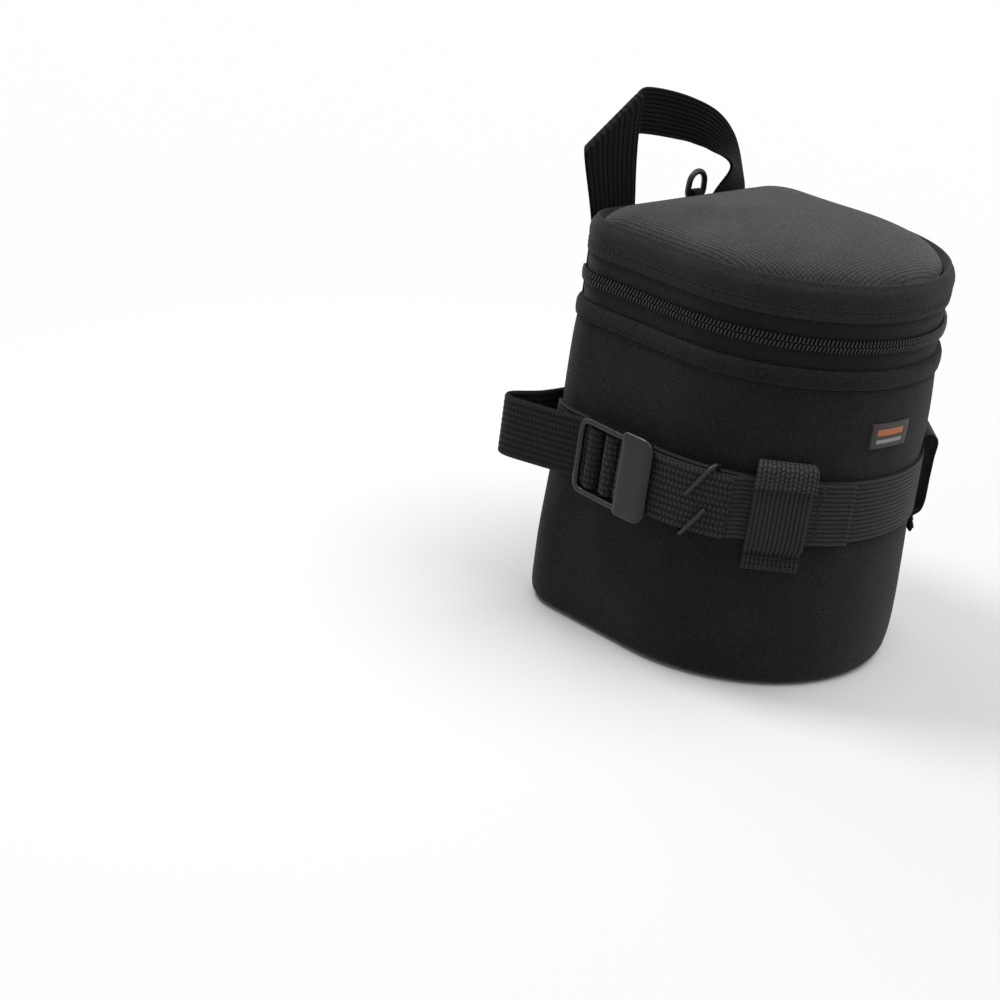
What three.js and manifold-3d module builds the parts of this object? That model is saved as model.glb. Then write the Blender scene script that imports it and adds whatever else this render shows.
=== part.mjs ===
// A padded lens pouch: a D-shaped body, a zipped lid hinged at the flat back, a webbing handle,
// a cinch belt with a ladder-lock buckle, and a fold-down belt flap behind.
// Millimetres, +Z up. The origin is the middle of the flat base, and the flat back faces +Y.
import * as THREE from 'three';
import { mergeVertices } from 'three/addons/utils/BufferGeometryUtils.js';
import Module from 'manifold-3d';

const wasm = await Module();
wasm.setup();

// Body and lid
const HALF_WIDTH = 57; // outside of the body wall at its top seam, and radius of the front arc
const SIDE_RUN = 55.5; // from the flat back to the centre of the front arc
const BACK_CORNER_R = 16;
const BODY_HEIGHT = 116;
const FLARE = 3; // how much further out the wall stands at the base
const EDGE_R = 4.5; // rounded edge between wall and base
const LID_BAND_H = 12;
const LID_UPRIGHT = 7; // lower part of the lid band, before it draws in
const LID_DRAW_IN = 3;
const LID_CROWN = 9;
const HINGE_RISE = 4; // lid hinge line above the body's top seam

// Cloth and padding
const GAP = 0.3;
const FABRIC = 1;
const BASE_T = 1.4;
const FOAM = 6;
const LINING = 0.8;
const RIM_T = 1.6;
const RIM_LIP_T = 0.8;
const RIM_LIP_H = 4;

// Zip
const LOWER_TAPE_H = 5.35;
const UPPER_TAPE_H = 7.05;
const TAPE_T = 1;
const TAPE_INSET = 1.3; // tape face behind the wall line
const COIL_H = 3;
const COIL_OUT = 0.8; // coil face in front of the wall line
const COIL_T = 3.2;
const BAND_LAP = 2; // lid band over the upper tape
const ZIP_STOP = 8; // zip end, measured along the wall from the back seam
const SLIDER_L = 12;
const SLIDER_H = 9;
const SLIDER_T = 1.6;
const BRIDGE_H = 3; // middle of the slider's bridge above its plate
const BRIDGE_W = 7.6;
const BRIDGE_BAR = 1.6;
const PULL_L = 24;
const PULL_W = 3.6;
const GRIP_L = 13;
const GRIP_W = 7;
const PULL_T = 1.6;
const EYE_WALL = 0.95;
const EYE_PLAY = 0.55;

// Webbing
const WEB_W = 23;
const WEB_T = 1.4;
const BELT_Z = 67.5; // middle of the belt
const BELT_START = 14; // belt end, measured along the wall from the back seam
const LIFT = 2.2; // the cinch strap stands off the belt where the keeper runs behind it
const STRAP_END = 134.5; // stations along the wall from the left back seam
const TAB_STATION = 110;
const TAIL_END = 94;
const STRAP_RAMP = 4;
const TAB_W = 19;
const TAB_ABOVE = 4.5; // tab's top above the belt's upper edge
const TAB_BELOW = 10.5; // tab's foot below the belt's lower edge
const TAB_SEWN_TOP = 3;
const TAB_SEWN_BOTTOM = 8;
const TAB_SLACK = 2.8; // room inside the empty loop at the right
const LABEL_W = 18;
const LABEL_H = 9;
const LABEL_T = 0.7;
const LABEL_DROP = 21; // label's middle below the body's top seam
const LABEL_SHIFT = -7; // label's middle beside the middle of the front

// Buckle and its straps, in the buckle's own frame: along the strap, out from the wall, up
const BUCKLE_Y = 14.4;
const BUCKLE_BACK = 16.5;
const BUCKLE_FRONT = 17;
const RAIL_W = 2.6;
const RAIL_IN = 4;
const RAIL_PLAY = 0.5; // webbing edge to rail
const FIXED_BAR_X = 9.6;
const FIXED_BAR_OUT = 5.8;
const GRIP_BAR_X = 2;
const GRIP_BAR_OUT = 5.7;
const BAR = 3;
const BAR_ROUND = 1;
const WRAP_PLAY = 0.35;
const STRAP_PLAY = 0.6; // strap ends to the webbing on the grip bar
const LEVER_L = 13;
const LEVER_PLAY = 0.6; // strap tail to lever
const LEVER_T = 2.2;
const LEVER_RISE = 1.5; // lever plate above and below the rails
const LEVER_CORNER = 5;
const REAR_RIM_W = 2.2; // rim that closes the frame, over the side loop's webbing
const REAR_RIM_T = 2.2;
const FRAME_CORNER = 3;
const KEEPER_STATION = 84;
const KEEPER_ROD = 1.7;
const KEEPER_REACH = 1.5; // rod clear of the webbing's edge
const KEEPER_LEAN = 3; // each end of the slanting rod beside its middle
const LOOP_OUT = 22; // how far the side loop stands out from the back corner seam
const LOOP_BACK = 8; // how far it stands behind the flat back
const LOOP_TIP = 5; // width of its round end

// Handle
const FOOT_X = 29.5;
const FOOT_BOTTOM = 84;
const FOLD_R = 1;
const AXIS_CLEAR = 0.9; // strap end to hinge line
const FOOT_CLEAR = 1.6;

// Back flap, and the ring on the lid
const FLAP_W = 34;
const FLAP_T = 2;
const FLAP_DROP = 16.5; // flap hinge below the body's top seam
const FLAP_L = 78;
const PAD_T = 1;
const PAD_W = 26;
const PAD_L = 32;
const PAD_Z = 46;
const ANCHOR_H = 10;
const RING_X = 14;
const RING_TAB_W = 6;
const RING_TAB_L = 12;
const RING_ROD = 1.8;
const RING_IN_W = 7;
const RING_IN_H = 7.5;
const RING_PLAY = 0.4;
const RING_CORNER = 1;
const RING_DROP = 1; // bar below the lid's top seam

const CORNER_STEPS = 4;
const ARC_STEPS = 24;
const EDGE_STEPS = 3;
const CROWN_RINGS = [1, 0.94, 0.8, 0.6, 0.34];
const CROWN_POWER = 2.4;

// Levels and places that follow from the sizes above
const backY = (HALF_WIDTH + SIDE_RUN) / 2;
const arcY = backY - SIDE_RUN;
const cornerX = HALF_WIDTH - BACK_CORNER_R;
const cornerY = backY - BACK_CORNER_R;
const cornerLen = (BACK_CORNER_R * Math.PI) / 2;
const sideLen = SIDE_RUN - BACK_CORNER_R;
const arcLen = Math.PI * HALF_WIDTH;
const wrapLen = 2 * (cornerLen + sideLen) + arcLen; // back seam to back seam, round the front
const girth = wrapLen + 2 * cornerX;
const frontStation = wrapLen / 2;

const rimTop = BODY_HEIGHT + GAP + RIM_T;
const lowerTape = rimTop + GAP;
const lowerCoil = lowerTape + LOWER_TAPE_H + GAP;
const upperCoil = lowerCoil + COIL_H + GAP;
const upperTape = upperCoil + COIL_H + GAP;
const zipZ = upperCoil - GAP / 2;
const bandBottom = upperTape + UPPER_TAPE_H - BAND_LAP;
const bandUpright = bandBottom + LID_UPRIGHT;
const lidSeam = bandBottom + LID_BAND_H;
const hingeY = backY + GAP + WEB_T / 2;
const hingeZ = BODY_HEIGHT + HINGE_RISE;
const flapHingeZ = BODY_HEIGHT - FLAP_DROP;

const liningOut = FABRIC + FOAM + 2 * GAP; // lining's outer face behind the wall line
const padFloor = Math.max(BASE_T + FOAM + 2 * GAP, EDGE_R); // top of the base padding
const lidLiningOut = TAPE_INSET + TAPE_T + GAP;
const lidCeiling = lidSeam - FOAM;

const beltIn = GAP;
const beltOut = beltIn + WEB_T;
const strapIn = beltOut + GAP;
const tailIn = strapIn + LIFT + WEB_T + GAP;
const tailOut = tailIn + WEB_T;
const leverIn = tailOut + LEVER_PLAY;
const beltLow = BELT_Z - WEB_W / 2;
const beltHigh = BELT_Z + WEB_W / 2;

// Finishes
const finish = (color, roughness, metalness = 0) =>
  new THREE.MeshStandardMaterial({ color, roughness, metalness });
const shellCloth = finish(0x1b1b1d, 0.9);
const liningCloth = finish(0x4a4c50, 0.9);
const foamFill = finish(0x2c2c30, 1);
const webbing = finish(0x161617, 0.75);
const zipNylon = finish(0x202022, 0.5);
const mouldedPlastic = finish(0x252628, 0.4);
const padPile = finish(0x121213, 1);
const labelCloth = finish(0x77797c, 0.8);

// Place and outward direction at a distance t along the wall, from the left back seam round the front
function wallAt(t) {
  const turn = (x, y, r, a) => {
    const nx = Math.cos(a);
    const ny = Math.sin(a);
    return { x: x + r * nx, y: y + r * ny, nx, ny };
  };
  const runs = [
    [cornerLen, (s) => turn(-cornerX, cornerY, BACK_CORNER_R, Math.PI / 2 + s / BACK_CORNER_R)],
    [sideLen, (s) => ({ x: -HALF_WIDTH, y: cornerY - s, nx: -1, ny: 0 })],
    [arcLen, (s) => turn(0, arcY, HALF_WIDTH, Math.PI + s / HALF_WIDTH)],
    [sideLen, (s) => ({ x: HALF_WIDTH, y: arcY + s, nx: 1, ny: 0 })],
    [cornerLen, (s) => turn(cornerX, cornerY, BACK_CORNER_R, s / BACK_CORNER_R)],
    [2 * cornerX, (s) => ({ x: cornerX - s, y: backY, nx: 0, ny: 1 })],
  ];
  let s = t % girth;
  for (const [length, place] of runs) {
    if (s <= length) return place(s);
    s -= length;
  }
  return wallAt(0);
}

// Stations where an outline needs a point: the arcs in steps, and the ends of the straight runs
const stops = [];
for (const [start, length, steps] of [
  [0, cornerLen, CORNER_STEPS],
  [cornerLen + sideLen, arcLen, ARC_STEPS],
  [wrapLen - cornerLen, cornerLen, CORNER_STEPS],
  [girth, cornerLen, CORNER_STEPS],
]) {
  for (let i = 0; i <= steps; i++) stops.push(start + (length * i) / steps);
}
const ring = stops.filter((t) => t < girth);
const backStation = (x) => wrapLen + cornerX - x;

function samples(from, to) {
  return [from, ...stops.filter((t) => t > from + GAP && t < to - GAP), to];
}

// How far the wall stands out from the outline at a height
function wallOut(z) {
  return (FLARE * (BODY_HEIGHT - z)) / (BODY_HEIGHT - EDGE_R);
}

// A closed solid from points and triangles, with its faces turned outward
function closed(points, faces) {
  let volume = 0;
  const at = (i) => new THREE.Vector3(...points[i]);
  for (const [a, b, c] of faces) volume += at(a).dot(at(b).cross(at(c)));
  const index = faces.flatMap(([a, b, c]) => (volume < 0 ? [a, c, b] : [a, b, c]));
  const geometry = new THREE.BufferGeometry();
  geometry.setAttribute('position', new THREE.Float32BufferAttribute(points.flat(), 3));
  geometry.setIndex(index);
  geometry.computeVertexNormals();
  return geometry;
}

// Skin between loops of equal length, each loop joined to the next
function skin(loops, size, wrapped) {
  const faces = [];
  for (let i = 0; i < loops - (wrapped ? 0 : 1); i++) {
    for (let j = 0; j < size; j++) {
      const a = i * size + j;
      const b = i * size + ((j + 1) % size);
      const c = ((i + 1) % loops) * size + j;
      const d = ((i + 1) % loops) * size + ((j + 1) % size);
      faces.push([a, b, d], [a, d, c]);
    }
  }
  return faces;
}

// A profile of [out, up] points carried along the wall; shift(t) moves it out at a station
function sweep(profile, stations, { wrapped = false, shift = () => 0 } = {}) {
  const points = stations.flatMap((t) => {
    const { x, y, nx, ny } = wallAt(t);
    return profile.map(([out, up]) => {
      const o = out + shift(t);
      return [x + o * nx, y + o * ny, up];
    });
  });
  const size = profile.length;
  const faces = skin(stations.length, size, wrapped);
  if (!wrapped) {
    const cap = THREE.ShapeUtils.triangulateShape(profile.map((p) => new THREE.Vector2(...p)), []);
    const last = (stations.length - 1) * size;
    const turned = THREE.ShapeUtils.area(profile.map((p) => new THREE.Vector2(...p))) < 0;
    for (const [a, b, c] of cap) {
      faces.push(turned ? [a, b, c] : [a, c, b]);
      faces.push(turned ? [last + a, last + c, last + b] : [last + a, last + b, last + c]);
    }
  }
  return closed(points, faces);
}

// Outlines stacked from one middle point to another: each is moved out, then scaled about the plan's middle
function stack(outlines, startZ, endZ) {
  const points = outlines.flatMap(({ out, z, scale = 1 }) =>
    ring.map((t) => {
      const { x, y, nx, ny } = wallAt(t);
      return [scale * (x + out * nx), scale * (y + out * ny), z];
    }),
  );
  const size = ring.length;
  const faces = skin(outlines.length, size, false);
  const first = points.length;
  points.push([0, 0, startZ], [0, 0, endZ]);
  const last = (outlines.length - 1) * size;
  for (let j = 0; j < size; j++) {
    const next = (j + 1) % size;
    faces.push([first, next, j], [first + 1, last + j, last + next]);
  }
  return closed(points, faces);
}

const slab = (out, z0, z1) => stack([{ out, z: z0 }, { out, z: z1 }], z0, z1);
const strip = (in0, out0, z0, z1) => [[in0, z0], [out0, z0], [out0, z1], [in0, z1]];
const wallStrip = (in0, out0, z0, z1) => [
  [wallOut(z0) + in0, z0],
  [wallOut(z0) + out0, z0],
  [wallOut(z1) + out0, z1],
  [wallOut(z1) + in0, z1],
];
const aroundFront = samples(0, wrapLen);
const acrossBack = samples(wrapLen + GAP, girth - GAP);
const alongZip = samples(ZIP_STOP, wrapLen - ZIP_STOP);
const behindZip = samples(wrapLen - ZIP_STOP + GAP, girth + ZIP_STOP - GAP);
const behind = (x0, x1) => samples(backStation(x1), backStation(x0));

// Joins and cuts
function solid(geometry) {
  const plain = geometry.clone();
  plain.deleteAttribute('normal');
  plain.deleteAttribute('uv');
  const merged = mergeVertices(plain);
  const mesh = new wasm.Mesh({
    numProp: 3,
    vertProperties: new Float32Array(merged.attributes.position.array),
    triVerts: new Uint32Array(merged.index.array),
  });
  return new wasm.Manifold(mesh);
}

function join(...geometries) {
  const whole = geometries.map(solid).reduce((a, b) => a.add(b));
  const { vertProperties, triVerts } = whole.getMesh();
  const geometry = new THREE.BufferGeometry();
  geometry.setAttribute('position', new THREE.BufferAttribute(vertProperties, 3));
  geometry.setIndex(new THREE.BufferAttribute(triVerts, 1));
  geometry.computeVertexNormals();
  return geometry;
}

// A box between two corners
function block(x0, x1, y0, y1, z0, z1) {
  const box = new THREE.BoxGeometry(x1 - x0, y1 - y0, z1 - z0);
  return box.translate((x0 + x1) / 2, (y0 + y1) / 2, (z0 + z1) / 2);
}

// A plan shape raised between two heights
function prism(shape, z0, z1) {
  const geometry = new THREE.ExtrudeGeometry(shape, {
    depth: z1 - z0,
    bevelEnabled: false,
    curveSegments: 2,
  });
  return geometry.translate(0, 0, z0);
}

function rounded(x0, x1, y0, y1, r) {
  const shape = new THREE.Shape();
  shape.moveTo(x0 + r, y0);
  shape.lineTo(x1 - r, y0).absarc(x1 - r, y0 + r, r, -Math.PI / 2, 0);
  shape.lineTo(x1, y1 - r).absarc(x1 - r, y1 - r, r, 0, Math.PI / 2);
  shape.lineTo(x0 + r, y1).absarc(x0 + r, y1 - r, r, Math.PI / 2, Math.PI);
  shape.lineTo(x0, y0 + r).absarc(x0 + r, y0 + r, r, Math.PI, 1.5 * Math.PI);
  return shape;
}

// A square sleeve round a bar, seen along the bar
function sleeve(x, y, half, wall, r) {
  const shape = rounded(x - half - wall, x + half + wall, y - half - wall, y + half + wall, r);
  shape.holes.push(rounded(x - half, x + half, y - half, y + half, Math.max(r - wall, wall / 4)));
  return shape;
}

// A strap on edge, seen from above: a smooth line with its thickness on both sides
function strapPlan(points, thickness, steps) {
  const curve = new THREE.SplineCurve(points.map((p) => new THREE.Vector2(...p)));
  const sides = [[], []];
  for (let i = 0; i <= steps; i++) {
    const p = curve.getPoint(i / steps);
    const d = curve.getTangent(i / steps);
    const across = new THREE.Vector2(-d.y, d.x).multiplyScalar(thickness / 2);
    sides[0].push(p.clone().add(across));
    sides[1].unshift(p.clone().sub(across));
  }
  return new THREE.Shape([...sides[0], ...sides[1]]);
}

// A strap between matching points of its two edges
function ribbon(edges, thickness) {
  const points = edges.flatMap(([left, right], i) => {
    const [l0, r0] = edges[Math.max(i - 1, 0)];
    const [l1, r1] = edges[Math.min(i + 1, edges.length - 1)];
    const along = l1.clone().add(r1).sub(l0).sub(r0);
    const normal = right.clone().sub(left).cross(along).setLength(thickness / 2);
    return [
      left.clone().add(normal),
      right.clone().add(normal),
      right.clone().sub(normal),
      left.clone().sub(normal),
    ].map((p) => p.toArray());
  });
  const end = points.length - 4;
  const caps = [[0, 2, 1], [0, 3, 2], [end, end + 1, end + 2], [end, end + 2, end + 3]];
  return closed(points, [...skin(edges.length, 4, false), ...caps]);
}

const part = new THREE.Group();
function piece(parent, name, geometry, material) {
  const mesh = new THREE.Mesh(geometry, material);
  mesh.name = name;
  parent.add(mesh);
  return mesh;
}

// Body shell, padding and lining
const pouch = new THREE.Group();
part.add(pouch);

function shellProfile(top) {
  const edge = (r) => {
    const arc = [];
    for (let i = 0; i <= EDGE_STEPS; i++) {
      const a = (Math.PI / 2) * (i / EDGE_STEPS - 1);
      arc.push([FLARE - EDGE_R + r * Math.cos(a), EDGE_R + r * Math.sin(a)]);
    }
    return arc;
  };
  const outside = [...edge(EDGE_R), [0, BODY_HEIGHT], ...(top > BODY_HEIGHT ? [[0, top]] : [])];
  const inside = [...edge(EDGE_R - FABRIC), [-FABRIC, top]];
  return [...outside, ...inside.reverse()];
}
piece(pouch, 'body_wall', sweep(shellProfile(BODY_HEIGHT), aroundFront), shellCloth);
piece(pouch, 'back_panel', sweep(shellProfile(hingeZ - GAP), acrossBack), shellCloth);

const baseOut = FLARE - EDGE_R - GAP;
piece(pouch, 'base_panel', slab(baseOut, 0, BASE_T), shellCloth);
piece(pouch, 'base_foam', slab(baseOut, BASE_T + GAP, BASE_T + GAP + FOAM), foamFill);

const foamProfile = wallStrip(-FABRIC - GAP - FOAM, -FABRIC - GAP, padFloor, BODY_HEIGHT);
piece(pouch, 'wall_foam', sweep(foamProfile, aroundFront), foamFill);
piece(pouch, 'back_foam', sweep(foamProfile, acrossBack), foamFill);

function liningCup() {
  const outside = (z) => ({ out: wallOut(z) - liningOut, z });
  const inside = (z) => ({ out: wallOut(z) - liningOut - LINING, z });
  const floor = padFloor + LINING;
  const outlines = [outside(padFloor), outside(BODY_HEIGHT), inside(BODY_HEIGHT), inside(floor)];
  return stack(outlines, padFloor, floor);
}
piece(pouch, 'lining', liningCup(), liningCloth);

const lipOut = GAP + RIM_LIP_T;
const rimProfile = [
  [-liningOut - LINING, BODY_HEIGHT + GAP],
  [GAP, BODY_HEIGHT + GAP],
  [GAP, BODY_HEIGHT - RIM_LIP_H],
  [lipOut, BODY_HEIGHT - RIM_LIP_H],
  [lipOut, rimTop],
  [-liningOut - LINING, rimTop],
];
piece(pouch, 'body_rim_tape', sweep(rimProfile, aroundFront), shellCloth);

// Zip: a tape and a coil on the body, and the same on the lid
const lid = new THREE.Group();
part.add(lid);
const tape = (z, h) => sweep(strip(-TAPE_INSET - TAPE_T, -TAPE_INSET, z, z + h), alongZip);
const coil = (z) => sweep(strip(COIL_OUT - COIL_T, COIL_OUT, z, z + COIL_H), alongZip);
piece(pouch, 'zip_tape_lower', tape(lowerTape, LOWER_TAPE_H), webbing);
piece(pouch, 'zip_coil_lower', coil(lowerCoil), zipNylon);
piece(lid, 'zip_tape_upper', tape(upperTape, UPPER_TAPE_H), webbing);
piece(lid, 'zip_coil_upper', coil(upperCoil), zipNylon);

// The slider's plate rides on the coils; its bridge carries the pull
const sliderFace = COIL_OUT + GAP + SLIDER_T;
const bridgeOut = sliderFace + BRIDGE_H;
function sliderBody() {
  const half = BRIDGE_W / 2;
  const bar = BRIDGE_BAR / 2;
  const long = SLIDER_L / 2;
  const high = SLIDER_H / 2;
  const plate = block(-long, long, sliderFace - SLIDER_T, sliderFace, -high, high);
  const posts = [-1, 1].map((side) => {
    const x = side * (half - bar);
    return block(x - bar, x + bar, sliderFace - SLIDER_T / 2, bridgeOut + bar, -bar, bar);
  });
  return join(plate, ...posts, block(-half, half, bridgeOut - bar, bridgeOut + bar, -bar, bar));
}
function pullBody() {
  const eye = sleeve(bridgeOut, 0, BRIDGE_BAR / 2 + EYE_PLAY, EYE_WALL, EYE_WALL);
  const along = prism(eye, -PULL_W / 2, PULL_W / 2);
  along.applyMatrix4(new THREE.Matrix4().makeBasis(
    new THREE.Vector3(0, 1, 0),
    new THREE.Vector3(0, 0, 1),
    new THREE.Vector3(1, 0, 0),
  ));
  const eyeLow = BRIDGE_BAR / 2 + EYE_PLAY + EYE_WALL / 2;
  const face = bridgeOut - PULL_T / 2;
  const stem = block(-PULL_W / 2, PULL_W / 2, face, face + PULL_T, -PULL_L, -eyeLow);
  const grip = block(-GRIP_W / 2, GRIP_W / 2, face, face + PULL_T, -PULL_L, GRIP_L - PULL_L);
  return join(along, stem, grip);
}
const zipPark = new THREE.Group();
zipPark.position.set(HALF_WIDTH, arcY, zipZ);
zipPark.rotation.z = -Math.PI / 2;
part.add(zipPark);
piece(zipPark, 'zip_slider', sliderBody(), mouldedPlastic);
piece(zipPark, 'zip_pull', pullBody(), mouldedPlastic);

// Lid shell
const bandProfile = [
  [0, bandBottom],
  [0, bandUpright],
  [-LID_DRAW_IN, lidSeam],
  [-LID_DRAW_IN - FABRIC, lidSeam],
  [-FABRIC, bandUpright],
  [-FABRIC, bandBottom],
];
piece(lid, 'lid_band', sweep(bandProfile, ring, { wrapped: true }), shellCloth);
const hingeProfile = strip(-FABRIC, 0, hingeZ + GAP, bandBottom - GAP);
piece(lid, 'hinge_panel', sweep(hingeProfile, behindZip), shellCloth);

const crownAt = (scale, lift) => ({
  out: -LID_DRAW_IN,
  scale,
  z: lidSeam + GAP + lift + LID_CROWN * (1 - scale ** CROWN_POWER),
});
function crownShell() {
  const outside = CROWN_RINGS.map((scale) => crownAt(scale, FABRIC));
  const inside = CROWN_RINGS.map((scale) => crownAt(scale, 0)).reverse();
  const top = lidSeam + GAP + LID_CROWN;
  return stack([...inside, ...outside], top, top + FABRIC);
}
piece(lid, 'lid_top_panel', crownShell(), shellCloth);

// The foam fills the lid between the lining's ceiling and the crown
function crownFoam() {
  const side = -LID_DRAW_IN - FABRIC - GAP;
  const inner = CROWN_RINGS.map((scale) => ({ ...crownAt(scale, -GAP), out: side }));
  inner[0].z = lidSeam;
  const floor = lidCeiling + GAP;
  return stack([{ out: side, z: floor }, ...inner], floor, lidSeam + LID_CROWN);
}
piece(lid, 'lid_foam', crownFoam(), foamFill);

function lidLiningCup() {
  const outside = (z) => ({ out: -lidLiningOut, z });
  const inside = (z) => ({ out: -lidLiningOut - LINING, z });
  const ceiling = lidCeiling - LINING;
  const outlines = [inside(ceiling), inside(upperTape), outside(upperTape), outside(lidCeiling)];
  return stack(outlines, ceiling, lidCeiling);
}
piece(lid, 'lid_lining', lidLiningCup(), liningCloth);

// Belt round the body, the cinch strap over it, and the strap's tail
const bandOfWeb = (inner) => wallStrip(inner, inner + WEB_T, beltLow, beltHigh);
piece(pouch, 'belt_webbing', sweep(bandOfWeb(beltIn), samples(BELT_START, wrapLen - BELT_START)), webbing);

const wrapFront = GRIP_BAR_X - BAR / 2 - WRAP_PLAY - WEB_T;
const strapStart = cornerLen + cornerY - BUCKLE_Y - wrapFront + STRAP_PLAY;
const liftAt = (t) => LIFT * THREE.MathUtils.clamp((TAIL_END + STRAP_RAMP - t) / STRAP_RAMP, 0, 1);
const strapStations = [...samples(strapStart, TAIL_END), ...samples(TAIL_END + STRAP_RAMP, STRAP_END)];
piece(pouch, 'cinch_strap', sweep(bandOfWeb(strapIn), strapStations, { shift: liftAt }), webbing);
piece(pouch, 'strap_tail', sweep(bandOfWeb(tailIn), samples(strapStart, TAIL_END)), webbing);

// Upright webbing loops over the belt
function tabProfile(slack) {
  const top = beltHigh + TAB_ABOVE;
  const bottom = beltLow - TAB_BELOW;
  const line = [
    [GAP, top],
    [GAP, top - TAB_SEWN_TOP],
    [slack, beltHigh + GAP],
    [slack, beltLow - GAP],
    [GAP, bottom + TAB_SEWN_BOTTOM],
    [GAP, bottom],
  ].map(([out, z]) => [wallOut(z) + out, z]);
  return [...line.map(([out, z]) => [out + WEB_T, z]), ...line.reverse()];
}
const tabHalf = TAB_W / 2;
const tabAt = (station, slack) => sweep(tabProfile(slack), samples(station - tabHalf, station + tabHalf));
piece(pouch, 'front_tab', tabAt(TAB_STATION, strapIn + WEB_T + GAP), webbing);
piece(pouch, 'right_tab', tabAt(wrapLen - TAB_STATION, beltOut + TAB_SLACK), webbing);

const labelZ = BODY_HEIGHT - LABEL_DROP;
const labelProfile = wallStrip(GAP, GAP + LABEL_T, labelZ - LABEL_H / 2, labelZ + LABEL_H / 2);
const labelMiddle = frontStation + LABEL_SHIFT;
const labelStations = samples(labelMiddle - LABEL_W / 2, labelMiddle + LABEL_W / 2);
piece(pouch, 'label_patch', sweep(labelProfile, labelStations), labelCloth);

// Split keeper: one bent rod, behind the strap and over both its edges, open across the front
function keeperRod() {
  const front = tailOut + GAP + KEEPER_ROD / 2;
  const rear = beltOut + GAP + KEEPER_ROD / 2;
  const middle = (front + rear) / 2;
  const edge = WEB_W / 2 + KEEPER_REACH + KEEPER_ROD / 2;
  const shoulder = edge - KEEPER_ROD;
  const split = KEEPER_ROD * 1.3;
  const lean = KEEPER_LEAN;
  const bend = KEEPER_ROD;
  const half = [
    [-lean, front, split],
    [lean * 0.6, front, shoulder - bend],
    [lean * 0.8, front - bend / 4, shoulder],
    [lean, middle, edge],
    [lean, rear + bend / 4, shoulder],
    [lean * 0.8, rear, shoulder - bend],
    [0, rear, 0],
  ];
  const path = [...half, ...half.slice(0, -1).reverse().map(([s, out, z]) => [-s, out, -z])];
  const curve = new THREE.CatmullRomCurve3(path.map(([s, out, z]) => {
    const { x, y, nx, ny } = wallAt(KEEPER_STATION + s);
    const o = out + wallOut(BELT_Z + z);
    return new THREE.Vector3(x + o * nx, y + o * ny, BELT_Z + z);
  }), false, 'centripetal');
  const section = new THREE.Shape().absarc(0, 0, KEEPER_ROD / 2, 0, 2 * Math.PI);
  return new THREE.ExtrudeGeometry(section, { steps: 40, curveSegments: 4, extrudePath: curve });
}
piece(part, 'strap_keeper', keeperRod(), mouldedPlastic);

// Ladder-lock buckle: a frame of two rails and a rear rim, a fixed bar, a grip bar and a wide lever plate
const buckle = new THREE.Group();
buckle.position.set(-HALF_WIDTH - wallOut(BELT_Z), BUCKLE_Y, BELT_Z);
buckle.rotation.z = Math.PI / 2;
part.add(buckle);
const railIn = WEB_W / 2 + RAIL_PLAY;
const railOut = railIn + RAIL_W;
const frameOut = leverIn + LEVER_T / 2;
const rimFront = BUCKLE_BACK - REAR_RIM_W;
function framePlan() {
  const turn = BUCKLE_BACK - FRAME_CORNER;
  const side = railOut - FRAME_CORNER;
  const shape = new THREE.Shape();
  shape.moveTo(-BUCKLE_FRONT, -railOut);
  shape.lineTo(turn, -railOut).absarc(turn, -side, FRAME_CORNER, -Math.PI / 2, 0);
  shape.lineTo(BUCKLE_BACK, side).absarc(turn, side, FRAME_CORNER, 0, Math.PI / 2);
  shape.lineTo(-BUCKLE_FRONT, railOut);
  shape.lineTo(-BUCKLE_FRONT, railIn);
  shape.lineTo(rimFront, railIn);
  shape.lineTo(rimFront, -railIn);
  shape.lineTo(-BUCKLE_FRONT, -railIn);
  return shape;
}
function ladderLock() {
  const rails = [[railIn, railOut], [-railOut, -railIn]].map(([low, high]) =>
    block(-BUCKLE_FRONT, rimFront, RAIL_IN, frameOut, low, high),
  );
  const r = BAR / 2;
  const barEnd = (railIn + railOut) / 2;
  const bars = [[FIXED_BAR_X, FIXED_BAR_OUT], [GRIP_BAR_X, GRIP_BAR_OUT]].map(([x, out]) =>
    prism(rounded(x - r, x + r, out - r, out + r, BAR_ROUND), -barEnd, barEnd),
  );
  const reach = railOut + LEVER_RISE;
  const tip = -BUCKLE_FRONT - LEVER_RISE;
  const outline = rounded(tip, LEVER_L - BUCKLE_FRONT, -reach, reach, LEVER_CORNER);
  const lever = prism(outline, leverIn, leverIn + LEVER_T);
  const frame = prism(framePlan(), frameOut - REAR_RIM_T, frameOut);
  const facing = new THREE.Matrix4().makeBasis(
    new THREE.Vector3(1, 0, 0),
    new THREE.Vector3(0, 0, -1),
    new THREE.Vector3(0, 1, 0),
  );
  return join(...rails, ...bars, lever.applyMatrix4(facing), frame.applyMatrix4(facing));
}
piece(buckle, 'ladder_lock', ladderLock(), mouldedPlastic);

const wrapHalf = BAR / 2 + WRAP_PLAY;
const gripWrap = prism(sleeve(GRIP_BAR_X, GRIP_BAR_OUT, wrapHalf, WEB_T, WEB_T), -WEB_W / 2, WEB_W / 2);
piece(buckle, 'strap_bar_wrap', gripWrap, webbing);

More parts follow.
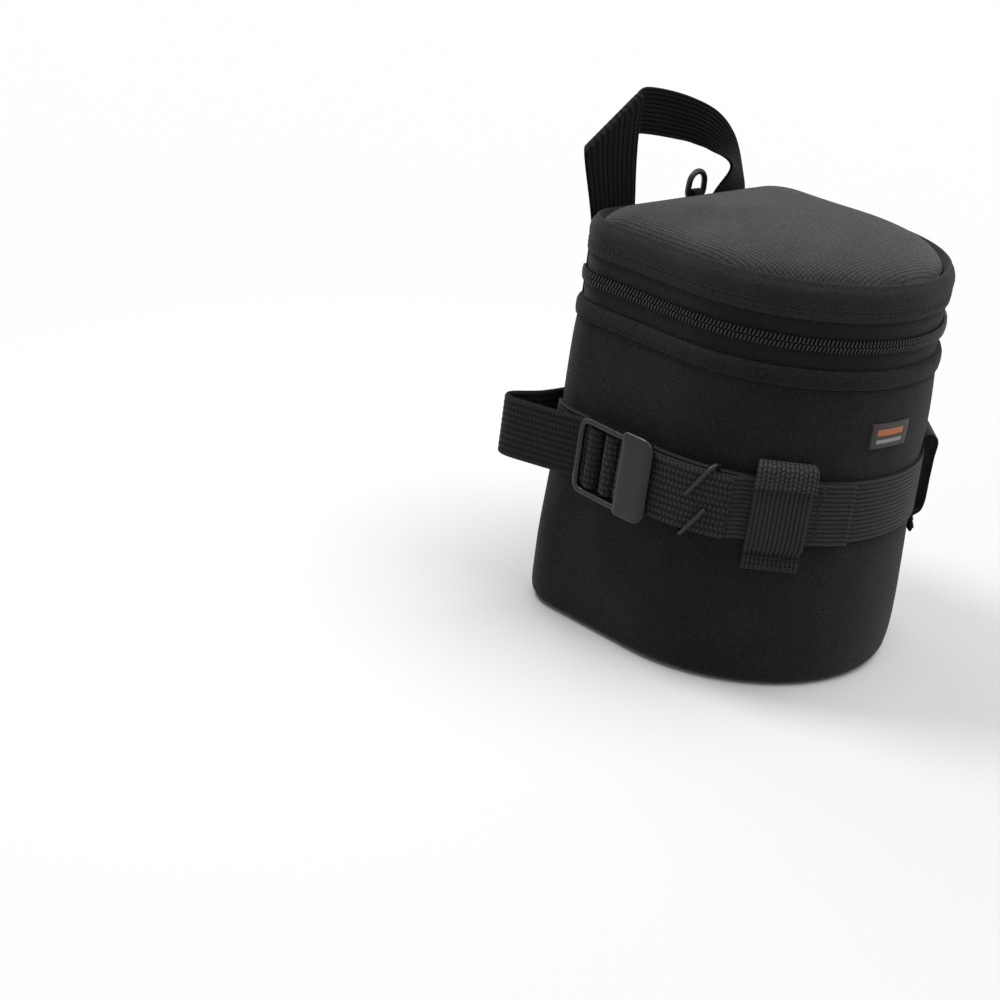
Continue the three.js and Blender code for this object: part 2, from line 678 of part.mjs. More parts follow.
// Side loop: sewn at the back seam, out past the corner, round its tip, under the frame to the fixed bar
function sideLoop() {
  const seat = backY + wallOut(beltLow) + GAP + WEB_T / 2;
  const barX = -HALF_WIDTH - wallOut(BELT_Z) - FIXED_BAR_OUT;
  const barY = BUCKLE_Y + FIXED_BAR_X;
  const rimY = BUCKLE_Y + BUCKLE_BACK;
  const legX = barX + wrapHalf + WEB_T / 2;
  const tipX = -HALF_WIDTH - LOOP_OUT + BACK_CORNER_R / 2;
  const tipY = backY + LOOP_BACK;
  const line = [
    [-cornerX + WEB_W / 2, seat],
    [-cornerX, seat],
    [(tipX - cornerX) / 2, seat + LOOP_TIP / 3],
    [tipX + LOOP_TIP / 2, tipY + LOOP_TIP / 4],
    [tipX, tipY - LOOP_TIP / 2],
    [(tipX + legX - WEB_T) / 2, (tipY + rimY) / 2],
    [legX - WEB_T / 2, rimY + FRAME_CORNER],
    [legX, rimY],
    [legX, barY],
  ];
  const strap = prism(strapPlan(line, WEB_T, 28), beltLow, beltHigh);
  const eye = prism(sleeve(barX, barY, wrapHalf, WEB_T, WEB_T), beltLow, beltHigh);
  return join(strap, eye);
}
piece(pouch, 'side_strap', sideLoop(), webbing);

// Handle: sewn feet on the back, and one strap folded at its upper left corner
const footTop = hingeZ - FOOT_CLEAR;
for (const [name, side] of [['handle_foot_left', -1], ['handle_foot_right', 1]]) {
  const x = side * FOOT_X;
  const stations = side > 0
    ? samples(backStation(x + WEB_W / 2), backStation(x - WEB_W / 2))
    : samples(backStation(x + WEB_W / 2), backStation(x) + WEB_W / 2);
  piece(pouch, name, sweep(wallStrip(GAP, GAP + WEB_T, FOOT_BOTTOM, footTop), stations), webbing);
}

// The strap's two edges, each point [across, behind, above] the hinge line; the loops follow how it hangs
const leftLeg = [
  [[-44.5, 1.2, 24], [-21.8, 0.8, 27]],
  [[-48.8, 1, 44], [-24.6, 0.2, 50]],
];
const fold = [[-49.7, 1, 47.2], [-24.4, 0, 66.4]];
const arch = [
  [[-26, 4.5, 52], [-19.5, 3.2, 69.2]],
  [[3, 4.5, 48], [1.5, 1, 65.5]],
  [[9.5, 3.5, 46.8], [19, 0, 58.5]],
  [[15, 2, 44.5], [32, 0.5, 49.5]],
  [[27, -1, 36.8], [46, 3, 36]],
  [[23.5, 1.2, 25.5], [44.5, 1.8, 25]],
];
function handleStrap() {
  const half = WEB_W / 2;
  const foot = (x) => [[x - half, 0, AXIS_CLEAR], [x + half, 0, AXIS_CLEAR]];
  // Round the diagonal fold, from the front layer to the rear one
  const [[x0, , up0], [x1, , up1]] = fold;
  const long = Math.hypot(x1 - x0, up1 - up0);
  const turned = [0, 45, 90, 135, 180].map(THREE.MathUtils.degToRad).map((a) => {
    const out = (FOLD_R * Math.sin(a)) / long;
    const rearward = FOLD_R * (1 - Math.cos(a));
    return fold.map(([x, back, up]) => [x - out * (up1 - up0), back + rearward, up + out * (x1 - x0)]);
  });
  const edges = [foot(-FOOT_X), ...leftLeg, ...turned, ...arch, foot(FOOT_X)];
  const place = ([x, back, up]) => new THREE.Vector3(x, hingeY + back, hingeZ + up);
  return ribbon(edges.map((pair) => pair.map(place)), WEB_T);
}
piece(part, 'handle_strap', handleStrap(), webbing);

// Belt flap on the back: sewn at its anchor, closed by a hook pad on a loop pad
const loopPadOut = GAP + PAD_T;
const hookPadOut = loopPadOut + GAP + PAD_T;
const flapIn = hookPadOut + GAP;
const flapOut = flapIn + FLAP_T;
const padLow = PAD_Z - PAD_L / 2;
const padHigh = PAD_Z + PAD_L / 2;
const padSpan = behind(-PAD_W / 2, PAD_W / 2);
const flapSpan = behind(-FLAP_W / 2, FLAP_W / 2);
piece(pouch, 'loop_pad', sweep(wallStrip(GAP, loopPadOut, padLow, padHigh), padSpan), padPile);
piece(part, 'hook_pad', sweep(wallStrip(loopPadOut + GAP, hookPadOut, padLow, padHigh), padSpan), padPile);

function flapProfile() {
  const bottom = flapHingeZ - FLAP_L;
  const r = FLAP_T / 2;
  const axis = wallOut(flapHingeZ) + flapIn + r;
  const cap = [0, 45, 90, 135, 180].map(THREE.MathUtils.degToRad);
  const round = cap.map((a) => [axis + r * Math.cos(a), flapHingeZ + r * Math.sin(a)]);
  return [[wallOut(bottom) + flapOut, bottom], ...round, [wallOut(bottom) + flapIn, bottom]];
}
piece(part, 'belt_flap', sweep(flapProfile(), flapSpan), webbing);

const anchorLow = flapHingeZ + FLAP_T / 2 + GAP;
const anchorProfile = wallStrip(GAP, flapOut, anchorLow, anchorLow + ANCHOR_H);
piece(pouch, 'flap_anchor', sweep(anchorProfile, flapSpan), webbing);

// Ring on a webbing tab at the back of the lid
const ringHalf = RING_ROD / 2 + RING_PLAY;
const ringZ = lidSeam - RING_DROP;
const ringY = backY + GAP + WEB_T + ringHalf;
function ringTab() {
  const eye = sleeve(ringY, ringZ, ringHalf, WEB_T, WEB_T);
  const web = rounded(backY + GAP, backY + GAP + WEB_T, ringZ - RING_TAB_L, ringZ, WEB_T / 3);
  const upright = new THREE.Matrix4().makeBasis(
    new THREE.Vector3(0, 1, 0),
    new THREE.Vector3(0, 0, 1),
    new THREE.Vector3(1, 0, 0),
  );
  const raised = [eye, web].map((shape) =>
    prism(shape, RING_X - RING_TAB_W / 2, RING_X + RING_TAB_W / 2).applyMatrix4(upright),
  );
  return join(...raised);
}
piece(lid, 'ring_tab', ringTab(), webbing);

function dRing() {
  const inside = RING_IN_W / 2;
  const outside = inside + RING_ROD;
  const bar = RING_ROD / 2;
  const top = bar + RING_IN_H;
  const shape = rounded(-outside, outside, -bar, top + RING_ROD, RING_CORNER + RING_ROD);
  shape.holes.push(rounded(-inside, inside, bar, top, RING_CORNER));
  return prism(shape, -bar, bar);
}
const ringMesh = piece(part, 'hang_ring', dRing(), mouldedPlastic);
ringMesh.position.set(RING_X, ringY, ringZ);
ringMesh.rotation.x = Math.PI / 2;

export default part;
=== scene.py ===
"""A padded lens pouch in black nylon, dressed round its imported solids: cloth shell and lid, coil zip,
ribbed webbing, moulded buckle, keeper and ring, and a belt flap behind. Sizes are in millimetres,
and meshes are made in metres in the frame's own axes: +Z up, flat back towards +Y."""
from math import ceil, copysign, cos, exp, hypot, pi, radians, sin, sqrt

import bmesh
import bpy
import numpy as np
from mathutils import Matrix, Vector, noise
from numpy.linalg import norm


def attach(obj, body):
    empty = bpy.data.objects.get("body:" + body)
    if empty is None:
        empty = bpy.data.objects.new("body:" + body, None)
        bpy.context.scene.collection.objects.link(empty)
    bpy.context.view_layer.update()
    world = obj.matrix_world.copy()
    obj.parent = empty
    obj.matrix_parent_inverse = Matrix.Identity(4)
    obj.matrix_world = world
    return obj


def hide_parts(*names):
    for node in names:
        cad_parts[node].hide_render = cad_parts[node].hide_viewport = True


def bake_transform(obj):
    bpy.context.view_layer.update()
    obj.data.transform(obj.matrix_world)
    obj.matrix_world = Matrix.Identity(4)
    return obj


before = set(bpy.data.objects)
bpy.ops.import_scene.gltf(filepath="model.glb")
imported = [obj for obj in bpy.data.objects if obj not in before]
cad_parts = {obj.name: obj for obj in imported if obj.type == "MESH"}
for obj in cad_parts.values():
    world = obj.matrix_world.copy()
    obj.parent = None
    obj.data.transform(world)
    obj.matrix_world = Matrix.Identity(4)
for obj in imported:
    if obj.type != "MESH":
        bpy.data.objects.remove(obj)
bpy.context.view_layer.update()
scene = bpy.context.scene
MM = 0.001
REARWARD = (0, 1, 0)

# Body and lid
HALF_WIDTH = 57.0
SIDE_RUN = 55.5
BACK_CORNER_R = 16.0
BODY_HEIGHT = 116.0
FLARE = 3.0
EDGE_R = 4.5
BACK_Y = (HALF_WIDTH + SIDE_RUN) / 2
ARC_Y = BACK_Y - SIDE_RUN
CORNER_X = HALF_WIDTH - BACK_CORNER_R
CORNER_Y = BACK_Y - BACK_CORNER_R
CORNER_LEN = BACK_CORNER_R * pi / 2
SIDE_LEN = SIDE_RUN - BACK_CORNER_R
ARC_LEN = pi * HALF_WIDTH
WRAP_LEN = 2 * (CORNER_LEN + SIDE_LEN) + ARC_LEN
GIRTH = WRAP_LEN + 2 * CORNER_X
FRONT = WRAP_LEN / 2
FOAM_IN = 7.2
LINING_OUT = -7.6
LINING_T = 0.8
LINING_LOW = 9.0
LINING_MID = 60.0
RIM_TOP = BODY_HEIGHT + 1.9
ZIP_Z = BODY_HEIGHT + 11.0
ZIP_STOP = 8.0
BAND_LOW = BODY_HEIGHT + 19.5
LID_SEAM = BAND_LOW + 12.0
LID_CEILING = LID_SEAM - 6.0
LID_CROWN = 9.0
HINGE_Y = BACK_Y + 1.0
HINGE_Z = BODY_HEIGHT + 4.0

# Padding: how far the cloth swells, ripples and sinks at the seams
PAD_BELOW_BELT = 1.2
PAD_ABOVE_BELT = 0.95
PAD_FADE = 20.0
BROAD_RIPPLE = {"along": 33, "up": 21, "layer": 0.4, "deep": 0.5}
FINE_RIPPLE = {"along": 12, "up": 30, "layer": 4.7, "deep": 0.16}
RIPPLE_SHARE = 0.8
SNUG = 0.1
SEAM_DEEP = 0.7
SEAM_WIDE = 1.1

# Steps between rows of a mesh
CLOTH_STEP = 1.9
LINING_STEP = 3.0
ZIP_STEP = 2.0
BELT_STEP = 2.4
STRAP_STEP = 1.6

# Webbing
WEB_W = 23.0
WEB_T = 1.4
RIBS = 14
RIB_POINTS = 4
TAB_RIBS = 12
COARSE_RIBS = 10
FINE_RIDGE = 0.08
COARSE_RIDGE = 0.16
LOOP_RIDGE = 0.12
SELVEDGE = 1.1
BELT_Z = 67.5
BELT_LOW = BELT_Z - WEB_W / 2
BELT_HIGH = BELT_Z + WEB_W / 2
BELT_START = 14.0
BELT_MID = 1.0
STRAP_IN = 2.0
LIFT = 2.2
TAIL_IN = 5.9
TAIL_END = 94.0
STRAP_RAMP = 4.0
STRAP_END = 134.5
# Rise, length before the strap's end and ramp of each fold there
STRAP_FOLDS = ((0.4, 9, 1.5), (0.45, 2, 1.2))
TAB_STATION = 110.0
RIGHT_STATION = WRAP_LEN - TAB_STATION
TAB_W = 19.0
TAB_TOP = BELT_Z + 16.0
TAB_FOOT = BELT_Z - 22.0
TAB_SLACK = 4.5
FRONT_SLACK = 3.7
HEM_ROW = 1.6
TACK_ROW = 4.6
LABEL_Z = 95.0
LABEL_W = 18.0
LABEL_H = 9.0
LABEL_T = 0.65
LABEL_MID = FRONT - 7.0
KEEPER_STATION = 84.0
KEEPER_ROD = 1.7
KEEPER_LEAN = 3.0

# Buckle, in its own frame: along the strap, out from the wall, up
BUCKLE_Y = 14.4
FIXED_BAR_X = 9.6
FIXED_BAR_OUT = 5.8
GRIP_BAR_X = 2.0
GRIP_BAR_OUT = 5.7
BAR = 3.0
BAR_HALF = 12.2
WRAP_HALF = BAR / 2 + 0.35
LEVER_IN = 7.9
FRAME_END = 16.5
RAIL_MID = 13.3
RAIL_HALF = 1.25
RAIL_SOFT = 0.55
STRAP_START = CORNER_LEN + CORNER_Y - BUCKLE_Y - (GRIP_BAR_X - WRAP_HALF - WEB_T) + 0.6

# Handle, flap, ring and zip slider
FOOT_X = 29.5
FOOT_BOTTOM = 84.0
FOOT_GAP = 1.2
FOOT_OUT = 1.0
TURN_HALF = 10.6
FLAP_HINGE_Z = BODY_HEIGHT - 16.5
FLAP_L = 78.0
FLAP_W = 34.0
FLAP_IN = 2.9
FLAP_T = 2.0
FLAP_SEAM = 14.5
PAD_LOW = 30.0
PAD_HIGH = 62.0
PAD_W = 26.0
PAD_T = 1.2
EDGE_PINCH = 0.35
PINCH_WIDE = 1.2
RING_X = 14.0
RING_Y = BACK_Y + 3.0
RING_Z = LID_SEAM - 1.0
RING_HALF = 4.4
RING_TOP = 9.3
RING_CORNER = 1.2
RING_ROD_R = 1.15
RING_TAB_HALF = 3.0
BRIDGE_HALF = 0.8
BRIDGE_TOP = 6.5
BRIDGE_LOW = BRIDGE_TOP - 2 * BRIDGE_HALF
POST_X = 3.0
SLIDER_HALF = 6.0
SLIDER_SIDE = 4.5
EYE_R = 1.8
NECK_HALF = 1.8
GRIP_HALF = 3.5
GRIP_Z = -11.0
PULL_END = -24.0


# Places on the wall
def wall_at(t):
    """Place and outward direction at a distance along the wall from the left back seam, round the front."""
    t %= GIRTH

    def turn(x, y, r, a):
        return x + r * cos(a), y + r * sin(a), cos(a), sin(a)

    runs = (
        (CORNER_LEN, lambda s: turn(-CORNER_X, CORNER_Y, BACK_CORNER_R, pi / 2 + s / BACK_CORNER_R)),
        (SIDE_LEN, lambda s: (-HALF_WIDTH, CORNER_Y - s, -1.0, 0.0)),
        (ARC_LEN, lambda s: turn(0, ARC_Y, HALF_WIDTH, pi + s / HALF_WIDTH)),
        (SIDE_LEN, lambda s: (HALF_WIDTH, ARC_Y + s, 1.0, 0.0)),
        (CORNER_LEN, lambda s: turn(CORNER_X, CORNER_Y, BACK_CORNER_R, s / BACK_CORNER_R)),
        (2 * CORNER_X, lambda s: (CORNER_X - s, BACK_Y, 0.0, 1.0)),
    )
    for length, place in runs:
        if t <= length:
            return place(t)
        t -= length
    return wall_at(0)


def on_wall(t, out, z):
    x, y, nx, ny = wall_at(t)
    return np.array([x + out * nx, y + out * ny, z])


def outward(t):
    _, _, nx, ny = wall_at(t)
    return np.array([nx, ny, 0.0])


def back_station(x):
    return WRAP_LEN + CORNER_X - x


def wall_out(z):
    return FLARE * (BODY_HEIGHT - z) / (BODY_HEIGHT - EDGE_R)


def spread(a, b, step):
    return np.linspace(a, b, max(2, ceil(abs(b - a) / step) + 1))


def ease(x):
    x = min(max(x, 0.0), 1.0)
    return x * x * (3 - 2 * x)


def arc(x, y, r, angles):
    return [(x + r * cos(a), y + r * sin(a)) for a in angles]


def swell(z, low, high):
    """0 at both ends of a padded stretch, 1 in its middle, quick near the ends."""
    if not low < z < high:
        return 0.0
    return sin(pi * (z - low) / (high - low)) ** 0.6


def cloth_out(t, z):
    """The shell's surface: padding swells between the seams, and the belt pulls it in."""
    t %= GIRTH
    front = ease(t / PAD_FADE) * ease((WRAP_LEN - t) / PAD_FADE) if t < WRAP_LEN else 0.0
    pad = PAD_BELOW_BELT * swell(z, EDGE_R - 1.5, BELT_LOW + 0.6)
    pad += PAD_ABOVE_BELT * swell(z, BELT_HIGH - 0.6, BODY_HEIGHT - 3.5)
    ripple = 0.0
    for wave in (BROAD_RIPPLE, FINE_RIPPLE):
        place = Vector((t / wave["along"], z / wave["up"], wave["layer"]))
        ripple += noise.noise(place) * wave["deep"]
    calm = ease((z - 2) / 12) * ease((BODY_HEIGHT - z) / 10)
    seam = min(t, GIRTH - t, abs(t - WRAP_LEN))
    crease = SEAM_DEEP * exp(-((seam / SEAM_WIDE) ** 2))
    return wall_out(z) + front * (pad + ripple * calm * RIPPLE_SHARE) - SNUG - crease


# Meshes
def new_piece(name, points, faces, uvs=None):
    mesh = bpy.data.meshes.new(name)
    mesh.from_pydata((np.asarray(points, float) * MM).tolist(), [], faces)
    if uvs is not None:
        layer = mesh.uv_layers.new(name="cloth")
        layer.data.foreach_set("uv", (np.asarray(uvs, float) * MM).ravel().astype(np.float32))
    shell = bmesh.new()
    shell.from_mesh(mesh)
    bmesh.ops.recalc_face_normals(shell, faces=shell.faces)
    shell.to_mesh(mesh)
    shell.free()
    mesh.polygons.foreach_set("use_smooth", [True] * len(mesh.polygons))
    obj = bpy.data.objects.new(name, mesh)
    scene.collection.objects.link(obj)
    return obj


def skin(n, m, wrapped):
    """Faces over n closed rows of m points: joined into a ring, or closed at both ends."""
    faces = []
    for i in range(n if wrapped else n - 1):
        for j in range(m):
            i2, j2 = (i + 1) % n, (j + 1) % m
            faces.append((i * m + j, i * m + j2, i2 * m + j2, i2 * m + j))
    if not wrapped:
        faces += [tuple(i * m + j for j in range(m)) for i in (0, n - 1)]
    return faces


def loft(name, rows, along=None, across=None, wrapped=False, uv=None):
    """A skin over closed rows. along and across give the cloth's own lengths, or uv gives a point's."""
    grid = np.array(rows, float)
    n, m = grid.shape[:2]

    def lay(i, j):
        return uv(grid[i % n][j % m]) if uv else (along[i], across[j])

    uvs = []
    for i in range(n if wrapped else n - 1):
        for j in range(m):
            uvs += [lay(i, j), lay(i, j + 1), lay(i + 1, j + 1), lay(i + 1, j)]
    if not wrapped:
        uvs += [lay(i, j) for i in (0, n - 1) for j in range(m)]
    return new_piece(name, grid.reshape(-1, 3), skin(n, m, wrapped), uvs)


def lengths(points, wrap=False):
    pts = np.asarray(points, float)
    if wrap:
        pts = np.vstack([pts, pts[:1]])
    return np.concatenate([[0.0], np.cumsum(norm(np.diff(pts, axis=0), axis=1))])


def around(name, stations, profile, wrapped=False):
    """A closed profile of (out, up) points, which may change with the station, carried along the wall."""
    rows = [[on_wall(t, out, z) for out, z in profile(t)] for t in stations]
    across = lengths(profile(stations[0]), wrap=True)
    along = list(stations) + ([stations[0] + GIRTH] if wrapped else [])
    return loft(name, rows, along, across, wrapped)


def sheet(face, thick):
    """The closed profile of a thin sheet: along its outer face, and back along its inner one."""
    return face + [(out - thick, z) for out, z in reversed(face)]


def rings(name, outlines, step=4.0):
    """Outlines of the plan, each (out, scale, z or a function of x and y), stacked from middle to middle."""
    stations = np.arange(0, GIRTH, step)
    rows = []
    for out, scale, z in outlines:
        row = []
        for t in stations:
            x, y, _ = on_wall(t, out, 0) * scale
            row.append((x, y, z(x, y) if callable(z) else z))
        rows.append(row)
    return loft(name, rows, uv=lambda p: (p[0], p[1]))


def between(t, t0, a, t1, b):
    """What stands at t on the way from a, at t0, to b, at t1."""
    return (t1 - t) / (t1 - t0) * a + (t - t0) / (t1 - t0) * b


def smooth_line(points, step, closed=False):
    """A line through the points, resampled at even lengths."""
    def gap(p, q):
        return norm(q - p) ** 0.5 + 1e-9

    pts = [np.asarray(p, float) for p in points]
    if closed:
        pts = [pts[-1], *pts, pts[0], pts[1]]
    else:
        pts = [2 * pts[0] - pts[1], *pts, 2 * pts[-1] - pts[-2]]
    fine = []
    for p0, p1, p2, p3 in zip(pts, pts[1:], pts[2:], pts[3:]):
        t1 = gap(p0, p1)
        t2 = t1 + gap(p1, p2)
        t3 = t2 + gap(p2, p3)
        for t in np.linspace(t1, t2, 24, endpoint=False):
            middle = between(t, t1, p1, t2, p2)
            first = between(t, 0, between(t, 0, p0, t1, p1), t2, middle)
            second = between(t, t1, middle, t3, between(t, t2, p2, t3, p3))
            fine.append(between(t, t1, first, t2, second))
    fine.append(pts[-2])
    run = lengths(fine)
    even = spread(0, run[-1], step)
    fine = np.array(fine)
    return np.stack([np.interp(even, run, fine[:, k]) for k in range(fine.shape[1])], axis=1)


def headings(line, closed=False):
    """Unit directions along a line at its points."""
    ahead = np.roll(line, -1, axis=0) - np.roll(line, 1, axis=0)
    if not closed:
        ahead[0], ahead[-1] = line[1] - line[0], line[-1] - line[-2]
    return ahead / norm(ahead, axis=1)[:, None]


def webbing(name, left, right, ribs=RIBS, ridge=FINE_RIDGE, closed=False, facing=None):
    """A woven strap between matching points of its two edges: ribs along it, and round selvedges."""
    left, right = np.asarray(left, float), np.asarray(right, float)
    middle = (left + right) / 2
    n = len(middle)
    normals = np.cross(right - left, headings(middle, closed))
    normals /= norm(normals, axis=1)[:, None]
    if facing is not None and np.dot(normals[n // 2], facing) < 0:
        normals = -normals
    width = norm(right[n // 2] - left[n // 2])
    round_edge = SELVEDGE / width
    section = []
    shares = np.linspace(0, 1, ribs * RIB_POINTS + 1)
    for side in (1, -1):
        for s in shares if side > 0 else shares[::-1]:
            edge = min(s, 1 - s) / round_edge
            full = sqrt(max(0.0, 1 - (1 - min(edge, 1.0)) ** 2))
            rise = ridge * (0.5 - 0.5 * cos(2 * pi * ribs * s)) - ridge
            section.append((s, side * max(0.06, (WEB_T / 2 + rise) * (0.25 + 0.75 * full))))
    rows = [[l + (r - l) * s + k * d for s, d in section] for l, r, k in zip(left, right, normals)]
    along = lengths(middle, wrap=closed)
    across = [s * width for s, _ in section] + [section[0][0] * width]
    return loft(name, rows, along, across, closed)


def strip(name, line, levels, place, **weave):
    """Webbing along a flat line: place takes a point of it and the level of an edge into the frame."""
    left, right = ([place(*point, level) for point in line] for level in levels)
    return webbing(name, left, right, **weave)


def belt_piece(name, stations, mid, **weave):
    """Webbing round the wall; mid gives how far its middle stands off the wall line at a station."""
    edges = [[on_wall(t, wall_out(z) + mid(t), z) for t in stations] for z in (BELT_LOW, BELT_HIGH)]
    return webbing(name, *edges, facing=outward(stations[len(stations) // 2]), **weave)


def soft_box(x0, x1, y0, y1, z0, z1, bevel, segments=3):
    """Points and faces of a box with rounded edges."""
    box = bmesh.new()
    bmesh.ops.create_cube(box, size=1)
    low, high = np.array((x0, y0, z0)), np.array((x1, y1, z1))
    for v in box.verts:
        v.co = (low + high) / 2 + np.array(v.co) * (high - low)
    bmesh.ops.bevel(box, geom=box.edges[:], offset=bevel, segments=segments, profile=0.5, affect="EDGES")
    box.verts.ensure_lookup_table()
    points = [tuple(v.co) for v in box.verts]
    faces = [tuple(v.index for v in f.verts) for f in box.faces]
    box.free()
    return points, faces


def tube(line, radius, sides=12, closed=False):
    """Points and faces of a round rod along a line, with round ends."""
    line = np.asarray(line, float)
    ahead = headings(line, closed)
    askew = (0.31, 0.52, 0.79)
    side = np.cross(ahead[0], askew)
    centres, radii, ways = list(line), [radius] * len(line), list(ahead)
    if not closed:
        for share in (0.5, 0.87, 0.99):
            ring = radius * sqrt(1 - share ** 2)
            past = radius * share
            centres = [line[0] - ahead[0] * past, *centres, line[-1] + ahead[-1] * past]
            radii = [ring, *radii, ring]
            ways = [ahead[0], *ways, ahead[-1]]
    points = []
    for p, r, a in zip(centres, radii, ways):
        side = side - a * (side @ a)
        side /= norm(side)
        other = np.cross(a, side)
        for k in range(sides):
            turn = 2 * pi * k / sides
            points.append(p + r * (cos(turn) * side + sin(turn) * other))
    return points, skin(len(centres), sides, closed)


def gather(name, parts, move=None):
    """One piece from several sets of points and faces, moved into place."""
    points, faces = [], []
    for p, f in parts:
        start = len(points)
        points += [move(q) if move else q for q in p]
        faces += [tuple(i + start for i in face) for face in f]
    return new_piece(name, points, faces)


def fit(obj, body, finish, *nodes):
    """Gives a piece its finish, its body and the solids that it stands for."""
    obj.data.materials.append(finish.material)
    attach(obj, body)
    if nodes:
        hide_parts(*nodes)


class Thread:
    """Sewing thread: rows of short stitches, kept until they become one piece."""

    def __init__(self):
        self.parts = []

    def stitch(self, a, b, normal, radius):
        sunk = normal * radius * 0.7
        proud = normal * radius * 0.35
        line = [a - sunk, a + (b - a) * 0.2 + proud, a + (b - a) * 0.8 + proud, b - sunk]
        self.parts.append(tube(line, radius, sides=6))

    def row(self, points, normals, pitch=2.6, share=0.72, radius=0.27):
        points, normals = np.asarray(points, float), np.asarray(normals, float)
        run = lengths(points)
        count = max(1, round(run[-1] / pitch))

        def at(s, table):
            return np.array([np.interp(s, run, table[:, k]) for k in range(3)])

        for i in range(count):
            s0 = (i + 0.5 - share / 2) * run[-1] / count
            s1 = (i + 0.5 + share / 2) * run[-1] / count
            self.stitch(at(s0, points), at(s1, points), at((s0 + s1) / 2, normals), radius)

    def wall_row(self, t0, t1, out, z, **sewn):
        stations = spread(t0, t1, 1.5)
        self.row([on_wall(t, out, z) for t in stations], [outward(t) for t in stations], **sewn)

    def back_rows(self, corners, out, **sewn):
        """Straight rows from corner to corner on the back."""
        points = [(x, BACK_Y + wall_out(z) + out, z) for x, z in corners]
        for ends in zip(points, points[1:]):
            self.row(ends, [REARWARD, REARWARD], **sewn)

    def zigzag(self, a, b, across, normal, pitch=1.1, radius=0.3):
        """A bar-tack from a to b: a dense zigzag as wide as across."""
        count = max(2, round(norm(b - a) / pitch))
        ends = [a + (b - a) * i / count + across * (0.5 if i % 2 else -0.5) for i in range(count + 1)]
        for p, q in zip(ends, ends[1:]):
            self.stitch(p, q, normal, radius)

    def build(self, name, body):
        fit(gather(name, self.parts), body, thread_finish)


# Finishes
class Value:
    """A socket in a node tree; operators add the maths."""

    def __init__(self, nodes, socket):
        self.nodes = nodes
        self.socket = socket

    def maths(self, operation, *others):
        return self.nodes.maths(operation, self, *others)

    def __add__(self, other):
        return self.maths("ADD", other)

    __radd__ = __add__

    def __sub__(self, other):
        return self.maths("SUBTRACT", other)

    def __rsub__(self, other):
        return self.nodes.maths("SUBTRACT", other, self)

    def __mul__(self, other):
        return self.maths("MULTIPLY", other)

    __rmul__ = __mul__

    def __truediv__(self, other):
        return self.maths("DIVIDE", other)

    def __rtruediv__(self, other):
        return self.nodes.maths("DIVIDE", other, self)

    def __mod__(self, other):
        return self.maths("FLOORED_MODULO", other)

    def __rmod__(self, other):
        return self.nodes.maths("FLOORED_MODULO", other, self)

    def __abs__(self):
        return self.maths("ABSOLUTE")

    def sine(self):
        return self.maths("SINE")

    def floor(self):
        return self.maths("FLOOR")

    def below(self, limit):
        return self.maths("LESS_THAN", limit)


class Nodes:
    """A node tree round one shader."""

    def __init__(self, tree, shader):
        self.tree = tree
        self.shader = tree.nodes[shader]

    def node(self, kind, settings=None, inputs=(), output=0):
        made = self.tree.nodes.new(kind)
        for key, value in (settings or {}).items():
            setattr(made, key, value)
        pairs = inputs.items() if isinstance(inputs, dict) else enumerate(inputs)
        for key, value in pairs:
            if isinstance(value, Value):
                self.tree.links.new(value.socket, made.inputs[key])
            else:
                made.inputs[key].default_value = value
        return Value(self, made.outputs[output])

    def maths(self, operation, *values):
        return self.node("ShaderNodeMath", {"operation": operation}, values)

    def link(self, value, socket):
        self.tree.links.new(value.socket, self.shader.inputs[socket])


class Finish(Nodes):
    """A material, its slot and the lay of its cloth."""

    def __init__(self, name, slot="", **fixed):
        self.slot = slot
        self.material = bpy.data.materials.new(name)
        self.material.use_nodes = True
        super().__init__(self.material.node_tree, "Principled BSDF")
        for socket, value in fixed.items():
            self.shader.inputs[socket.replace("_", " ")].default_value = value

    def lay(self):
        """Along and across the cloth, in metres."""
        place = self.node("ShaderNodeUVMap", {"uv_map": "cloth"})
        return [self.node("ShaderNodeSeparateXYZ", {}, [place], output=axis) for axis in ("X", "Y")]

    def speckle(self, scale, detail=3.0, rough=0.6):
        place = self.node("ShaderNodeTexCoord", output="Object")
        grain = {"Vector": place, "Scale": scale, "Detail": detail, "Roughness": rough}
        return self.node("ShaderNodeTexNoise", {}, grain)

    def mix(self, factor, a, b):
        """A colour between a and b, by the Mix node's colour sockets."""
        return self.node("ShaderNodeMix", {"data_type": "RGBA"}, {0: factor, 6: a, 7: b}, output=2)

    def dress(self, colour, rough, height, depth):
        """Links the colour, the roughness and a relief as deep as depth."""
        relief = {"Strength": 1.0, "Distance": depth, "Height": height}
        self.link(colour, "Base Color")
        self.link(rough, "Roughness")
        self.link(self.node("ShaderNodeBump", {}, relief), "Normal")
        return self


COOL_TINT = (1.0, 0.98, 1.09)


def shade(level):
    return (*(level * share for share in COOL_TINT), 1.0)


def grey(level):
    return (level, level, level, 1.0)


